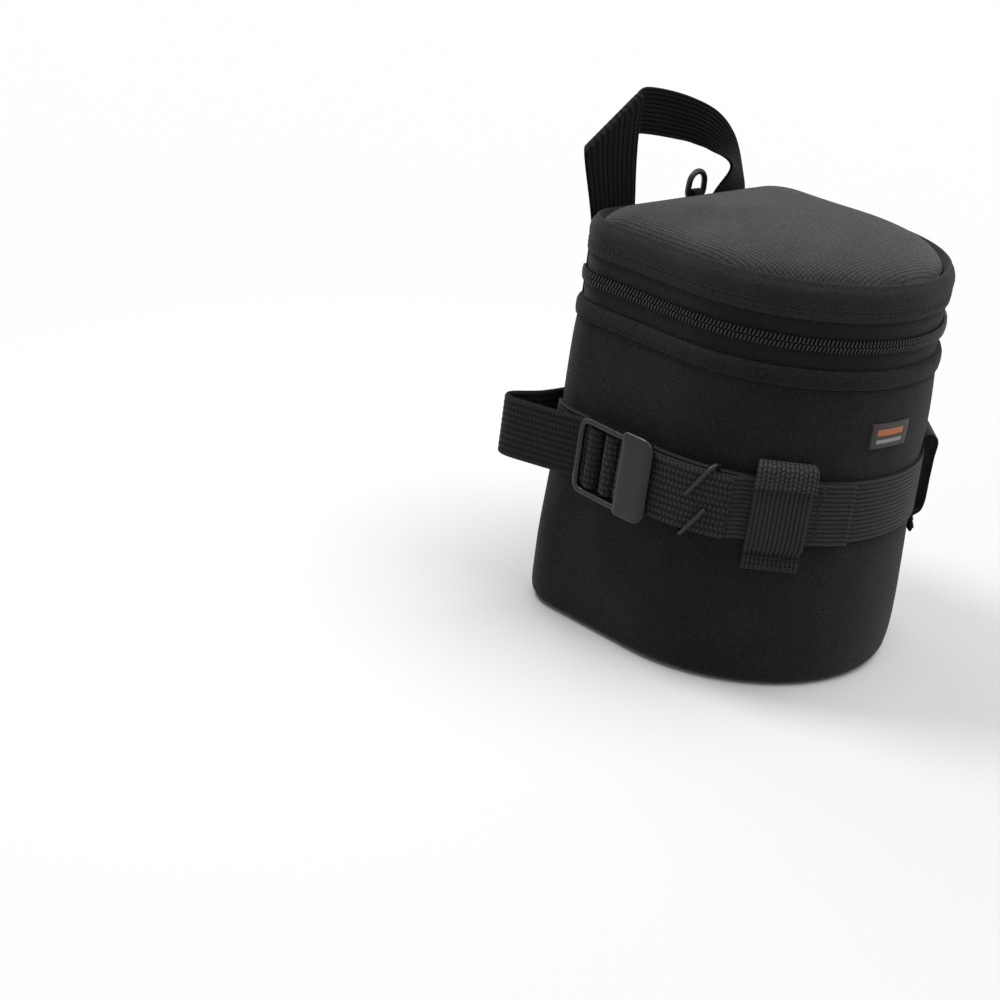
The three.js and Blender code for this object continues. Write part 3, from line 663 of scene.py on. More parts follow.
def woven(name, level, pitch, slot="shell_cloth", twill=False, depth=0.16 * MM, sheen=0.1, contrast=0.5):
    """Nylon cloth: pillows of a plain weave, or the slanting lines of a twill."""
    made = Finish(name, slot, Sheen_Weight=sheen, Sheen_Roughness=0.45, Specular_IOR_Level=0.1)
    u, v = made.lay()
    turn = pi / pitch
    if twill:
        thread = abs(((u + v) * turn).sine()) * 0.8 + abs(((u - v) * turn * 2).sine()) * 0.2
    else:
        thread = abs((u * turn).sine() * (v * turn).sine())
    cloud = made.speckle(60.0)
    fibre = made.speckle(2600.0, 1.0)
    slub = made.speckle(1000.0, 2.0)
    tone = thread * contrast + cloud * 0.5 + fibre * 0.5 + slub * 0.8 - 0.7
    colour = made.mix(tone, shade(level * 0.3), shade(level * 1.9))
    return made.dress(colour, 0.85 - thread * 0.12 + cloud * 0.08, thread + fibre * 0.35 + slub, depth)


def webbing_finish(name, level, rib_w, slant=0.9, floats=0.3, gloss=0.14):
    """Strap weave: ribs along the strap, crossed by slanting floats that change hand from rib to rib."""
    made = Finish(name, "webbing", Sheen_Weight=gloss / 2, Sheen_Roughness=0.4, Specular_IOR_Level=gloss)
    u, v = made.lay()
    place = v / (rib_w * MM)
    rib = place.floor()
    hand = (rib % 2) * 2 - 1
    float_line = abs(((u / (slant * MM) + hand * place * 0.4 + rib * 0.5) * pi).sine())
    valley = abs((place * pi).sine())
    cloud = made.speckle(90.0)
    fibre = made.speckle(3000.0, 1.0)
    thread = valley * (float_line * floats + (1 - floats))
    tone = thread * 0.85 + cloud * 0.3 + fibre * 0.3 - 0.35 + 0.12 * floats
    colour = made.mix(tone, shade(level * 0.15), shade(level * 2.4))
    return made.dress(colour, 0.72 - thread * 0.16 + cloud * 0.1, thread + fibre * 0.2, 0.3 * MM)


def moulded(name, level, rough, slot="moulded_plastic"):
    """Satin moulded plastic: fine grain, convex edges painted lighter as a painted highlight and hollows
    painted darker as painted shade.
    """
    made = Finish(name, slot, Specular_IOR_Level=0.34)
    cloud = made.speckle(140.0)
    fine = made.speckle(5200.0, 1.0)
    edge = made.node("ShaderNodeNewGeometry", output="Pointiness")
    # Pointiness paints a highlight on convex edges and shade in hollows into the colour
    painted_edge_light_and_hollow_shade = (edge - 0.5) * 6.0
    tone = cloud * 0.5 + painted_edge_light_and_hollow_shade * 0.35 + 0.1
    colour = made.mix(tone, shade(level * 0.7), shade(level * 1.6))
    return made.dress(colour, rough + cloud * 0.14 - 0.05, fine, 0.03 * MM)


def pile(name, level):
    """The fuzz of a hook or loop pad."""
    made = Finish(name, "pad_pile", Sheen_Weight=0.5, Sheen_Roughness=0.6, Specular_IOR_Level=0.15)
    fuzz = made.speckle(1500.0, 4.0, 0.75)
    cloud = made.speckle(120.0)
    colour = made.mix(fuzz * 0.8 + cloud * 0.3 - 0.1, shade(level * 0.4), shade(level * 1.8))
    return made.dress(colour, 0.9 + cloud * 0.1 - 0.05, fuzz, 0.6 * MM)


def label_weave():
    """A plain woven label: a dark ground with one orange and one grey bar."""
    made = Finish("label_weave", "label_cloth", Sheen_Weight=0.2, Specular_IOR_Level=0.35)
    u, v = made.lay()
    pitch, satin_pitch = 0.45 * MM, 0.5 * MM
    thread = abs((u / pitch * pi).sine() * (v / pitch * pi).sine())
    satin = abs((u / satin_pitch * pi).sine())

    def bar(middle, half_high, half_long=6.2):
        return abs(u / MM).below(half_long) * abs(v / MM - middle).below(half_high)

    upper, lower = bar(1.3, 1.15), bar(-2.0, 0.7)
    ground = made.mix(thread * 0.6, shade(0.012), shade(0.04))
    first = made.mix(upper, ground, (0.72, 0.19, 0.02, 1.0))
    colour = made.mix(lower, first, (0.42, 0.42, 0.44, 1.0))
    relief = thread + (upper + lower) * (satin * 0.8 + 0.6)
    return made.dress(colour, 0.7 - satin * 0.15, relief, 0.16 * MM)


shell_cloth = woven("shell_cloth", 0.021, 0.9 * MM, contrast=0.35)
# The lid's crown is the shell's own cloth at twice the level: painted light for the top light on the lid
crown_cloth_painted_light = woven("crown_cloth_painted_light", 0.042, 1.2 * MM, sheen=0.2, contrast=0.42)
band_cloth = woven("band_cloth", 0.024, 1.25 * MM, twill=True)
tape_cloth = woven("zip_tape_weave", 0.014, 0.8 * MM, "webbing", twill=True, sheen=0.15)
lining_cloth = woven("lining_tricot", 0.11, 0.8 * MM, "lining_cloth", depth=0.08 * MM, sheen=0.4)
flap_weave = woven("flap_weave", 0.02, 1.0 * MM, "webbing")
belt_weave = webbing_finish("belt_weave", 0.021, WEB_W / RIBS, floats=0.4)
tab_weave = webbing_finish("tab_weave", 0.022, TAB_W / TAB_RIBS, floats=0.45)
# The tab's folded end is the tab's own webbing at a higher level: painted light for the top light on the
# fold
turn_weave_painted_light = webbing_finish("turn_weave_painted_light", 0.034, TAB_W / TAB_RIBS, slant=1.5, floats=0.8)
tail_weave = webbing_finish("tail_weave", 0.02, WEB_W / COARSE_RIBS, slant=1.6, floats=0.9)
loop_weave = webbing_finish("loop_weave", 0.011, WEB_W / COARSE_RIBS, slant=1.4, floats=0.7)
# The handle's webbing at about a quarter of the belt's level: painted shade for the shade on the handle's
# arch facing down
handle_weave_painted_shade = webbing_finish("handle_weave_painted_shade", 0.0055, WEB_W / RIBS, slant=1.2, floats=0.5, gloss=0.07)
buckle_plastic = moulded("buckle_plastic", 0.008, 0.2)
keeper_plastic = moulded("keeper_plastic", 0.014, 0.25)
zip_nylon = moulded("zip_nylon", 0.006, 0.3, "zip_nylon")
thread_finish = moulded("sewing_thread", 0.009, 0.7, "webbing")
pad_pile = pile("pad_pile", 0.02)
label_finish = label_weave()


# Body shell, base and lining
def shell_profile(t):
    line = arc(FLARE - EDGE_R, EDGE_R, EDGE_R, np.linspace(-pi / 2, 0, 7))
    below = spread(EDGE_R + 2.5, BELT_LOW - 1, 3.2)
    behind = spread(BELT_LOW, BELT_HIGH, 5)
    above = spread(BELT_HIGH + 1, BODY_HEIGHT - 0.6, 2.6)
    line += [(cloth_out(t, z), z) for z in (*below, *behind, *above)]
    line += [
        (-1.0, BODY_HEIGHT), (-7.0, BODY_HEIGHT), (wall_out(LINING_MID) - FOAM_IN, LINING_MID),
        (wall_out(LINING_LOW) - FOAM_IN, LINING_LOW + 0.2), (FLARE - EDGE_R + 0.1, 1.4),
    ]
    return line


full_turn = np.arange(0, GIRTH, CLOTH_STEP)
shell = around("pouch_shell", full_turn, shell_profile, wrapped=True)
fit(shell, "pouch", shell_cloth, "body_wall", "back_panel", "wall_foam", "back_foam")

HUB = 0.05
BASE_OUT = FLARE - EDGE_R - 0.4
BASE_TOP = 7.4
base_rows = [(BASE_OUT, share, 0.0) for share in (HUB, 0.5, 0.96)]
base_rows += [(BASE_OUT, 1, z) for z in (0.5, BASE_TOP - 0.8)]
base_rows += [(BASE_OUT - 1, share, BASE_TOP) for share in (1, HUB)]
base = rings("pouch_base", base_rows)
fit(base, "pouch", shell_cloth, "base_panel", "base_foam")

lining_face = [(wall_out(z) + LINING_OUT, z) for z in (LINING_LOW, LINING_MID, BODY_HEIGHT - 0.4)]
lining_line = sheet(lining_face, LINING_T)
lining_turn = np.arange(0, GIRTH, LINING_STEP)
lining = around("lining_wall", lining_turn, lambda t: lining_line, wrapped=True)
fit(lining, "pouch", lining_cloth, "lining")
FLOOR_OUT = wall_out(LINING_LOW) + LINING_OUT - 0.1
FLOOR_LOW = BASE_TOP + 0.3
lining_floor = rings("lining_floor", [
    (FLOOR_OUT, HUB, FLOOR_LOW), (FLOOR_OUT, 1, FLOOR_LOW), (FLOOR_OUT, 1, LINING_LOW - 0.4),
    (FLOOR_OUT - 1, 1, LINING_LOW), (FLOOR_OUT - 1, HUB, LINING_LOW),
])
fit(lining_floor, "pouch", lining_cloth)

RIM_PROFILE = (
    (-8.2, 0.3), (0.0, 0.3), (0.0, -3.8), (0.5, -4.2), (1.1, -3.8), (1.35, -1.8), (1.25, 0.4), (0.8, 1.6),
    (0.0, 1.95), (-8.2, 1.9),
)
rim_line = [(out, BODY_HEIGHT + up) for out, up in RIM_PROFILE]
rim = around("body_rim_binding", spread(0.4, WRAP_LEN - 0.4, ZIP_STEP), lambda t: rim_line)
fit(rim, "pouch", shell_cloth, "body_rim_tape")

# Zip: two tapes, and two rows of teeth that mesh
TAPE_OUT = -1.3
TAPE_BOW = 0.5
TAPE_T = 0.9
TOOTH_PITCH = 1.4
TOOTH_LEAN = 0.25
TOOTH_LONG = 2.3
TOOTH_HALF = 0.4
TOOTH_HEAD = 1.1


def tape_profile(low, high):
    heights = spread(low, high, 1.2)
    face = [(TAPE_OUT + TAPE_BOW * sin(pi * (z - low) / (high - low)), z) for z in heights]
    return sheet(face, TAPE_T)


zip_turn = spread(ZIP_STOP, WRAP_LEN - ZIP_STOP, ZIP_STEP)
for name, low, high, body, node in (
    ("zip_tape_below", RIM_TOP - 0.1, ZIP_Z - 0.15, "pouch", "zip_tape_lower"),
    ("zip_tape_above", ZIP_Z + 0.15, BAND_LOW + 1.9, "lid", "zip_tape_upper"),
):
    tape_line = tape_profile(low, high)
    fit(around(name, zip_turn, lambda t: tape_line), body, tape_cloth, node)


def tooth(t, low, high, head):
    """One turn of the nylon coil: a leaning bar across the tape, its head at the zip's middle."""
    points, faces = soft_box(-TOOTH_HALF, TOOTH_HALF, -0.9, 0.55, low, high, 0.3, 2)
    place = on_wall(t, 0, 0)
    way = outward(t)
    along = np.array([-way[1], way[0], 0.0])
    shaped = []
    for x, y, z in points:
        near = max(0.0, 1 - abs(z - head) / TOOTH_HEAD)
        side = x * (1 + 0.3 * near) + TOOTH_LEAN * (z - head)
        shaped.append(place + along * side + way * (y + 0.25 * near) + np.array([0, 0, z]))
    return shaped, faces


teeth = np.arange(ZIP_STOP + 1, WRAP_LEN - ZIP_STOP - 1.5, TOOTH_PITCH)
below = [tooth(t, ZIP_Z - TOOTH_LONG, ZIP_Z - 0.05, ZIP_Z - 0.3) for t in teeth]
above = [tooth(t + TOOTH_PITCH / 2, ZIP_Z + 0.05, ZIP_Z + TOOTH_LONG, ZIP_Z + 0.3) for t in teeth]
fit(gather("zip_teeth_below", below), "pouch", zip_nylon, "zip_coil_lower")
fit(gather("zip_teeth_above", above), "lid", zip_nylon, "zip_coil_upper")


# Lid band, crown, lining and cloth hinge
def band_profile(t):
    """From the turned lower edge over the band's swell to the ridge and crease at the crown, and inside."""
    ripple = 0.25 * noise.noise(Vector((t / 14, 2.0, 0.3)))
    hem = [(-0.9, 0.1), (-0.35, -0.15), (0.0, 0.3), (0.15, 1.2), (0.0, 2.2), (-0.05, 3.0), (0.0, 4.2)]
    puff = [(0.25 + ripple, 6.0), (0.35 + ripple, 7.8), (0.1 + ripple, 9.4), (-0.5, 10.7), (-1.35, 11.7)]
    ridge = [(-1.6, 0.45), (-2.0, 0.8), (-2.6, 0.65), (-3.0, -0.3), (-3.4, -1.3), (-4.3, -1.7)]
    inside = [(-1.8, 6.5), (-1.2, 1.0)]
    runs = ((hem, BAND_LOW), (puff, BAND_LOW), (ridge, LID_SEAM), (inside, BAND_LOW))
    return [(out, base_z + up) for run, base_z in runs for out, up in run]


lid_band = around("lid_band_cloth", full_turn, band_profile, wrapped=True)
fit(lid_band, "lid", band_cloth, "lid_band")

CROWN_OUT = -4.6
CROWN_SKIRT = -5.2
CROWN_SUNK = 1.2
CROWN_ROLL = 3.4
ROLL_WIDE = 2.6
DOME_POWER = 2.4
CROWN_DENT = 0.5
ROLL_SHARES = (0.999, 0.993, 0.985, 0.976, 0.966, 0.954)


def crown_height(scale):
    """Height at one share of the outline: a quick roll at the seam, then a low dome with dents."""
    def height(x, y):
        dent = CROWN_DENT * noise.noise(Vector((x / 34, y / 30, 1.2)))
        rise = (LID_CROWN - CROWN_SUNK) * (1 - scale ** DOME_POWER)
        roll = CROWN_ROLL * (1 - exp(-(1 - scale) * HALF_WIDTH / ROLL_WIDE))
        return LID_SEAM - CROWN_SUNK + rise + roll + dent * ease((1 - scale) * 4)
    return height


crown_rows = [
    (CROWN_SKIRT, HUB, LID_CEILING + 0.6), (CROWN_SKIRT, 1, LID_CEILING + 0.6),
    (CROWN_SKIRT, 1, LID_SEAM - 1.8), (CROWN_SKIRT + 0.3, 1, LID_SEAM - 1.5),
]
crown_rows += [(CROWN_OUT, s, crown_height(s)) for s in (*ROLL_SHARES, *np.linspace(0.94, 0.03, 30))]
crown = rings("lid_crown", crown_rows, step=2.2)
fit(crown, "lid", crown_cloth_painted_light, "lid_top_panel", "lid_foam")

LID_LINING_OUT = -2.7
lid_lining_line = sheet([(LID_LINING_OUT, z) for z in (ZIP_Z + 3.5, LID_CEILING - 0.1)], LINING_T)
lid_lining = around("lid_lining_wall", lining_turn, lambda t: lid_lining_line, wrapped=True)
fit(lid_lining, "lid", lining_cloth, "lid_lining")
CEILING_OUT = LID_LINING_OUT - LINING_T - 0.1
ceiling_rows = [(CEILING_OUT, share, LID_CEILING - LINING_T) for share in (HUB, 1)]
ceiling_rows += [(CEILING_OUT, share, LID_CEILING) for share in (1, HUB)]
ceiling = rings("lid_lining_top", ceiling_rows)
fit(ceiling, "lid", lining_cloth)

HINGE_TOP = BAND_LOW + 0.8
HINGE_IN = -0.75
hinge_line = [
    (HINGE_IN, HINGE_TOP), (HINGE_IN, HINGE_Z + 1), (HINGE_IN, BODY_HEIGHT + 0.6), (-0.3, BODY_HEIGHT - 6.5),
]
hinge_line += [(0.1, z) for z in spread(BODY_HEIGHT - 7, HINGE_TOP, 1.2)]
hinge_turn = spread(WRAP_LEN - ZIP_STOP + 0.3, GIRTH + ZIP_STOP - 0.3, ZIP_STEP)
hinge_cloth = around("hinge_cloth", hinge_turn, lambda t: hinge_line)
hinge_cloth.data.materials.append(band_cloth.material)
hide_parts("hinge_panel")
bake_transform(hinge_cloth)

# Belt, cinch strap and tail
belt = belt_piece("belt", spread(BELT_START, WRAP_LEN - BELT_START, BELT_STEP), lambda t: BELT_MID)
fit(belt, "pouch", belt_weave, "belt_webbing")


def strap_mid(t):
    """The strap stands off under the tail, where the keeper runs behind it, and at its turned, sewn end."""
    lift = LIFT * ease((TAIL_END + STRAP_RAMP - t) / STRAP_RAMP)
    turned = sum(rise * ease((t - STRAP_END + before) / ramp) for rise, before, ramp in STRAP_FOLDS)
    return STRAP_IN + WEB_T / 2 + lift + turned


strap = belt_piece("cinch_strap_web", spread(STRAP_START, STRAP_END, STRAP_STEP), strap_mid)
fit(strap, "pouch", belt_weave, "cinch_strap")
tail_stations = spread(STRAP_START, TAIL_END, STRAP_STEP)
coarse = {"ribs": COARSE_RIBS, "ridge": COARSE_RIDGE}
tail = belt_piece("strap_tail_web", tail_stations, lambda t: TAIL_IN + WEB_T / 2, **coarse)
fit(tail, "pouch", tail_weave, "strap_tail")


def tab_seat(z):
    return max(wall_out(z) + 1.0, cloth_out(FRONT, z) + 0.7)


def tab_front(slack):
    return wall_out(BELT_Z) + slack + WEB_T / 2


def tab_line(slack):
    """Out and up along an upright tab: sewn at its top, down over the belt, hemmed at its foot."""
    front = tab_front(slack)
    top = [(tab_seat(TAB_TOP - drop), TAB_TOP - drop) for drop in (6.5, 2)]
    over = [
        ((tab_seat(TAB_TOP) + front) / 2, TAB_TOP + 0.2), (front, TAB_TOP - 1.4), (front, BELT_HIGH - 4),
        (front, BELT_Z), (front, BELT_LOW + 1), (front * 0.75 + tab_seat(BELT_LOW - 3) * 0.25, BELT_LOW - 2),
    ]
    hem = ((6.6, 0.6), (TACK_ROW, 0.15), (2.8, 0.75), (0.9, 0.75), (0, 0.25))
    return top + over + [(tab_seat(TAB_FOOT + up) + proud, TAB_FOOT + up) for up, proud in hem]


def turn_line(slack):
    """Out and up along the tab's folded end: over its top, and a short way down its front."""
    front = tab_front(slack)
    seat = tab_seat(TAB_TOP)
    over = [(seat - 0.3, 0.3), (seat + 0.4, 1.1), ((seat + front) / 2, 1.5), (front + 0.7, 0.9)]
    down = [(front + 1.5, -0.8), (front + 1.65, -3.5), (front + 1.95, -6.8)]
    return [(out, TAB_TOP + up) for out, up in over + down]


def tab_piece(name, station, points):
    sides = (station - TAB_W / 2, station + TAB_W / 2)
    line = smooth_line(points, 0.9)
    return strip(
        name, line, sides, lambda out, z, t: on_wall(t, out, z), ribs=TAB_RIBS, facing=outward(station),
    )


for name, station, slack in (
    ("front_tab", TAB_STATION, FRONT_SLACK), ("right_tab", RIGHT_STATION, TAB_SLACK),
):
    fit(tab_piece(f"{name}_web", station, tab_line(slack)), "pouch", tab_weave, name)
fit(tab_piece("front_tab_turn", TAB_STATION, turn_line(FRONT_SLACK)), "pouch", turn_weave_painted_light)


def label_piece():
    heights = spread(LABEL_Z - LABEL_H / 2, LABEL_Z + LABEL_H / 2, 1.0)
    loop = [(z, LABEL_T) for z in heights] + [(z, 0.0) for z in heights[::-1]]
    stations = spread(LABEL_MID - LABEL_W / 2, LABEL_MID + LABEL_W / 2, 1.2)
    rows = [[on_wall(t, cloth_out(t, z) + up, z) for z, up in loop] for t in stations]
    across = [z - LABEL_Z for z, _ in loop] + [loop[0][0] - LABEL_Z]
    return loft("front_label", rows, stations - LABEL_MID, across)


fit(label_piece(), "pouch", label_finish, "label_patch")


# Keeper: one bent rod behind the strap and over both its edges, split across the front
def keeper_line():
    front = TAIL_IN + WEB_T + 0.3 + KEEPER_ROD / 2
    rear = STRAP_IN + KEEPER_ROD / 2
    edge = WEB_W / 2 + 1.5 + KEEPER_ROD / 2
    shoulder = edge - KEEPER_ROD
    half = [
        (-1, front, 1.3 * KEEPER_ROD), (0.5, front, shoulder - KEEPER_ROD),
        (0.8, front - KEEPER_ROD / 4, shoulder), (1.3, (front + rear) / 2, edge),
        (1.5, rear + KEEPER_ROD / 4, shoulder), (1.1, rear, shoulder - KEEPER_ROD),
    ]
    line = []
    for s, out, up in half + [(0, rear, 0)] + [(-s, out, -up) for s, out, up in reversed(half)]:
        z = BELT_Z + up
        line.append(on_wall(KEEPER_STATION + KEEPER_LEAN * s, out + wall_out(z), z))
    return smooth_line(line, 0.7)


keeper = gather("split_keeper", [tube(keeper_line(), KEEPER_ROD / 2, 14)])
fit(keeper, "keeper", keeper_plastic, "strap_keeper")


# Ladder-lock buckle
def from_buckle(p):
    return (-HALF_WIDTH - wall_out(BELT_Z) - p[1], BUCKLE_Y + p[0], BELT_Z + p[2])


def closed_form(rows):
    """Points and faces of a closed form through matching loops of points."""
    return [p for row in rows for p in row], skin(len(rows), len(rows[0]), wrapped=False)


def buckle_frame():
    """Both rails and the rear rim in one: along a rail, round the rear and back, each place with a depth."""
    side, turn, rear = RAIL_MID, FRAME_END - 3.0, FRAME_END - 1.1
    path = [
        (-17.0, side, 7.2, 9.4), (-15.5, side, 6.2, 9.8), (-10, side, 4.8, 10.0), (-3, side, 4.0, 9.9),
        (5, side, 4.0, 9.5), (10, side, 4.0, 9.2), (turn - 1.2, side, 4.4, 9.1),
        (turn + 0.75, side - 0.5, 6.0, 9.1), (rear - 0.35, side - 1.9, 6.7, 9.1), (rear, side - 4, 6.8, 9.0),
        (rear, 4, 6.8, 9.0),
    ]
    path += [(x, -z, low, high) for x, z, low, high in reversed(path)]
    ahead = headings(np.array([(x, z) for x, z, _, _ in path]))
    wide, narrow = RAIL_HALF, RAIL_HALF - RAIL_SOFT
    rows = []
    for (x, z, low, high), (dx, dz) in zip(path, ahead):
        near, far = low + RAIL_SOFT, high - RAIL_SOFT
        section = [(low, narrow), (near, wide), (far, wide), (high, narrow)]
        section += [(out, -across) for out, across in reversed(section)]
        rows.append([(x - dz * across, out, z + dx * across) for out, across in section])
    return closed_form(rows)


def lever_plate():
    """The wide lever: a plate with round corners, crowned, its edges rolled over."""
    tip, root, half = -18.5, -4.0, 16.1
    tip_r, root_r, least_r = 5.0, 2.2, 0.3
    bulge = 0.5
    corners = (
        (tip, -half, tip_r, 180), (root, -half, root_r, 270),
        (root, half, root_r, 0), (tip, half, tip_r, 90),
    )
    middle = (tip + root) / 2

    def outline(inset):
        line = []
        for x, z, r, start in corners:
            cx = x - copysign(r, x - middle)
            cz = z - copysign(r, z)
            tight = max(r - inset, least_r)
            pull = max(inset - r + least_r, 0.0)
            for a in np.radians(start + np.linspace(0, 90, 7)):
                px = cx + tight * cos(a) - copysign(pull, x - middle)
                pz = cz + tight * sin(a) - copysign(pull, z)
                line.append((px, pz))
        return line

    # Inset, height and share of the bulge, from the underside over the rolled edge to the top
    layers = (
        (4.0, 0.0, 0), (0.6, 0.0, 0), (0.1, 0.35, 0), (0.0, 0.9, 0.2), (0.25, 1.5, 0.5), (0.8, 1.95, 0.8),
        (1.7, 2.2, 1), (3.0, 2.25, 1), (5.0, 2.25, 1),
    )
    rows = []
    for inset, up, share in layers:
        top = LEVER_IN + up
        rows.append([(x, top + share * bulge * (1 - (z / half) ** 2), z) for x, z in outline(inset)])
    return closed_form(rows)


bars = [
    tube([(x, out, -BAR_HALF), (x, out, BAR_HALF)], BAR / 2, 16)
    for x, out in ((FIXED_BAR_X, FIXED_BAR_OUT), (GRIP_BAR_X, GRIP_BAR_OUT))
]
buckle = gather("ladder_lock_buckle", [buckle_frame(), lever_plate(), *bars], from_buckle)
soft_edges = buckle.modifiers.new("soft edges", "SUBSURF")
soft_edges.levels = 1
soft_edges.render_levels = 2
fit(buckle, "buckle", buckle_plastic, "ladder_lock")

wrap_r = WRAP_HALF + WEB_T / 2
wrap_line = arc(GRIP_BAR_X, GRIP_BAR_OUT, wrap_r, np.linspace(0, 2 * pi, 28, endpoint=False))
wrap = strip(
    "grip_bar_wrap", wrap_line, (-WEB_W / 2, WEB_W / 2), lambda *p: from_buckle(p), closed=True, **coarse,
)
fit(wrap, "buckle", tail_weave, "strap_bar_wrap")


# Side loop: sewn at the back, out past the corner, round its tip, and under the frame to the fixed bar
def side_loop_line():
    seat = BACK_Y + wall_out(BELT_LOW) + 0.3 + WEB_T / 2
    bar_x = -HALF_WIDTH - wall_out(BELT_Z) - FIXED_BAR_OUT
    bar_y = BUCKLE_Y + FIXED_BAR_X
    tip_x = -HALF_WIDTH - 22 + BACK_CORNER_R / 2
    tip_y = BACK_Y + 8
    leg_x = bar_x + wrap_r
    rim_y = BUCKLE_Y + FRAME_END
    line = [
        (-CORNER_X + WEB_W / 2, seat), (-CORNER_X, seat), ((tip_x - CORNER_X) / 2, seat + 1.8),
        (tip_x + 3.6, tip_y + 1.3), (tip_x + 0.9, tip_y + 0.4), (tip_x, tip_y - 2.6),
        ((tip_x + leg_x - WEB_T) / 2, (tip_y + rim_y) / 2), (leg_x - WEB_T / 2, rim_y + 3), (leg_x, rim_y),
        (leg_x, bar_y + 1),
    ]
    line += arc(bar_x, bar_y, wrap_r, np.radians((0, -45, -90, -135, -180, -225, -258)))
    return smooth_line(line, 1.0)


side_loop = strip(
    "side_loop_web", side_loop_line(), (BELT_LOW, BELT_HIGH), lambda x, y, z: (x, y, z),
    ribs=COARSE_RIBS, ridge=LOOP_RIDGE, facing=(-1, 0, 0),
)
fit(side_loop, "pouch", loop_weave, "side_strap")

# Handle: sewn feet on the back, webbing turned at the hinge line, and a strap folded at its upper left
for name, middle in (("left", -FOOT_X), ("right", FOOT_X)):
    heights = spread(FOOT_BOTTOM, HINGE_Z - FOOT_GAP, 2.0)
    sides = (back_station(middle + WEB_W / 2), back_station(middle - WEB_W / 2))
    edges = [[on_wall(t, wall_out(z) + FOOT_OUT, z) for z in heights] for t in sides]
    foot = webbing(f"handle_foot_{name}_web", *edges, facing=REARWARD)
    fit(foot, "pouch", handle_weave_painted_shade, f"handle_foot_{name}")
    turn_ends = [(middle + x, HINGE_Y, HINGE_Z) for x in (-TURN_HALF, TURN_HALF)]
    turned = gather(f"handle_turn_{name}", [tube(turn_ends, WEB_T / 2, 14)])
    fit(turned, "lid", handle_weave_painted_shade)

# Both edges of the handle at a few places, each across, behind and above the hinge line
LEFT_LEG = [((-44.5, 1.4, 24), (-21.8, 0.9, 27)), ((-50.2, 2.2, 42), (-24.8, 1.4, 50))]
FOLD = ((-51.6, 2.6, 47.4), (-25, 1.8, 66.2))
ARCH = [
    ((-26.6, 5.8, 52), (-19.8, 4.6, 69)), ((3, 4.5, 48), (1.5, 1.6, 65)),
    ((11, 3, 46), (18.5, 1, 58.6)), ((18, 1.2, 43.6), (31, 1.5, 49.5)),
    ((29, -1.5, 37), (44.2, 5, 34)), ((23.5, 1.2, 25.5), (44.5, 1.8, 25)),
]


def folded_edges():
    """Both edges round the fold, half a turn rearward; the lower one slides in behind the front layer."""
    (x0, _, up0), (x1, _, up1) = FOLD
    long = hypot(x1 - x0, up1 - up0)
    rows = []
    for a in np.linspace(0, pi, 7):
        rearward = 1 - cos(a)
        outs = (0.3 * sin(a) / long, sin(min(a, pi / 2)) / long)
        slides = (1.2 * rearward / long, 0.0)
        row = []
        for (x, back, up), out, slide in zip(FOLD, outs, slides):
            across = x + slide * (x1 - x0) - out * (up1 - up0)
            above = up + slide * (up1 - up0) + out * (x1 - x0)
            row.append((across, back + rearward, above))
        rows.append(row)
    return rows


def handle_piece():
    """The strap: up the left leg, over the fold and down the arch. The fold stays sharp."""
    def foot(x):
        return [((x - WEB_W / 2, 0, up), (x + WEB_W / 2, 0, up)) for up in (0.9, 5)]

    def place(rows):
        return [np.ravel([(x, HINGE_Y + back, HINGE_Z + up) for x, back, up in row]) for row in rows]

    folded = folded_edges()
    leg = place(foot(-FOOT_X) + LEFT_LEG + folded[:1])
    arch = place(folded[-1:] + ARCH + foot(FOOT_X)[::-1])
    line = np.vstack([smooth_line(leg, STRAP_STEP)[:-1], place(folded), smooth_line(arch, STRAP_STEP)[1:]])
    return webbing("handle_strap_web", line[:, :3], line[:, 3:])


fit(handle_piece(), "handle", handle_weave_painted_shade, "handle_strap")


# Belt flap behind, with its pads and anchor
def back_panel(name, low, high, width, inner, thick):
    """A flat panel on the back between two heights, with soft edges."""
    def pinch(inside):
        return EDGE_PINCH * max(0.0, 1 - inside / PINCH_WIDE)

    heights = spread(low, high, 3.0)
    xs = spread(-width / 2, width / 2, 3.0)
    rims = [pinch(width / 2 - abs(x)) for x in xs]
    rows = []
    for z in heights:
        end = pinch(min(z - low, high - z))
        near = BACK_Y + (wall_out(z) + inner + end)
        far = BACK_Y + (wall_out(z) + inner + thick - end)
        row = [(x, far - rim, z) for x, rim in zip(xs, rims)]
        rows.append(row + [(x, near + rim, z) for x, rim in zip(xs[::-1], rims[::-1])])
    across = [*xs, *xs[::-1], xs[0]]
    return loft(name, rows, heights, across)


for name, inner, body, node in (("loop", 0.1, "pouch", "loop_pad"), ("hook", 1.5, "flap", "hook_pad")):
    pad = back_panel(f"{name}_side_pad", PAD_LOW, PAD_HIGH, PAD_W, inner, PAD_T)
    fit(pad, body, pad_pile, node)
flap = back_panel("belt_flap_cloth", FLAP_HINGE_Z - FLAP_L, FLAP_HINGE_Z + 0.9, FLAP_W, FLAP_IN, FLAP_T)
fit(flap, "flap", flap_weave, "belt_flap")
anchor = back_panel("flap_anchor_cloth", FLAP_HINGE_Z + 1.2, FLAP_HINGE_Z + 11.4, FLAP_W, 0.1, 4.7)
fit(anchor, "pouch", flap_weave, "flap_anchor")


# Ring and its tab on the lid
def ring_line():
    inner = RING_HALF - RING_CORNER
    line = [(inner, 0), (RING_HALF, RING_CORNER)]
    line += arc(0, RING_TOP - RING_HALF, RING_HALF, np.linspace(0, pi, 13))
    line += [(-RING_HALF, RING_CORNER), (-inner, 0), (0, 0)]
    return smooth_line([(RING_X + x, RING_Y, RING_Z + z) for x, z in line], 0.7, closed=True)[:-1]


ring = gather("hang_ring_moulded", [tube(ring_line(), RING_ROD_R, 14, closed=True)])
fit(ring, "ring", keeper_plastic, "hang_ring")


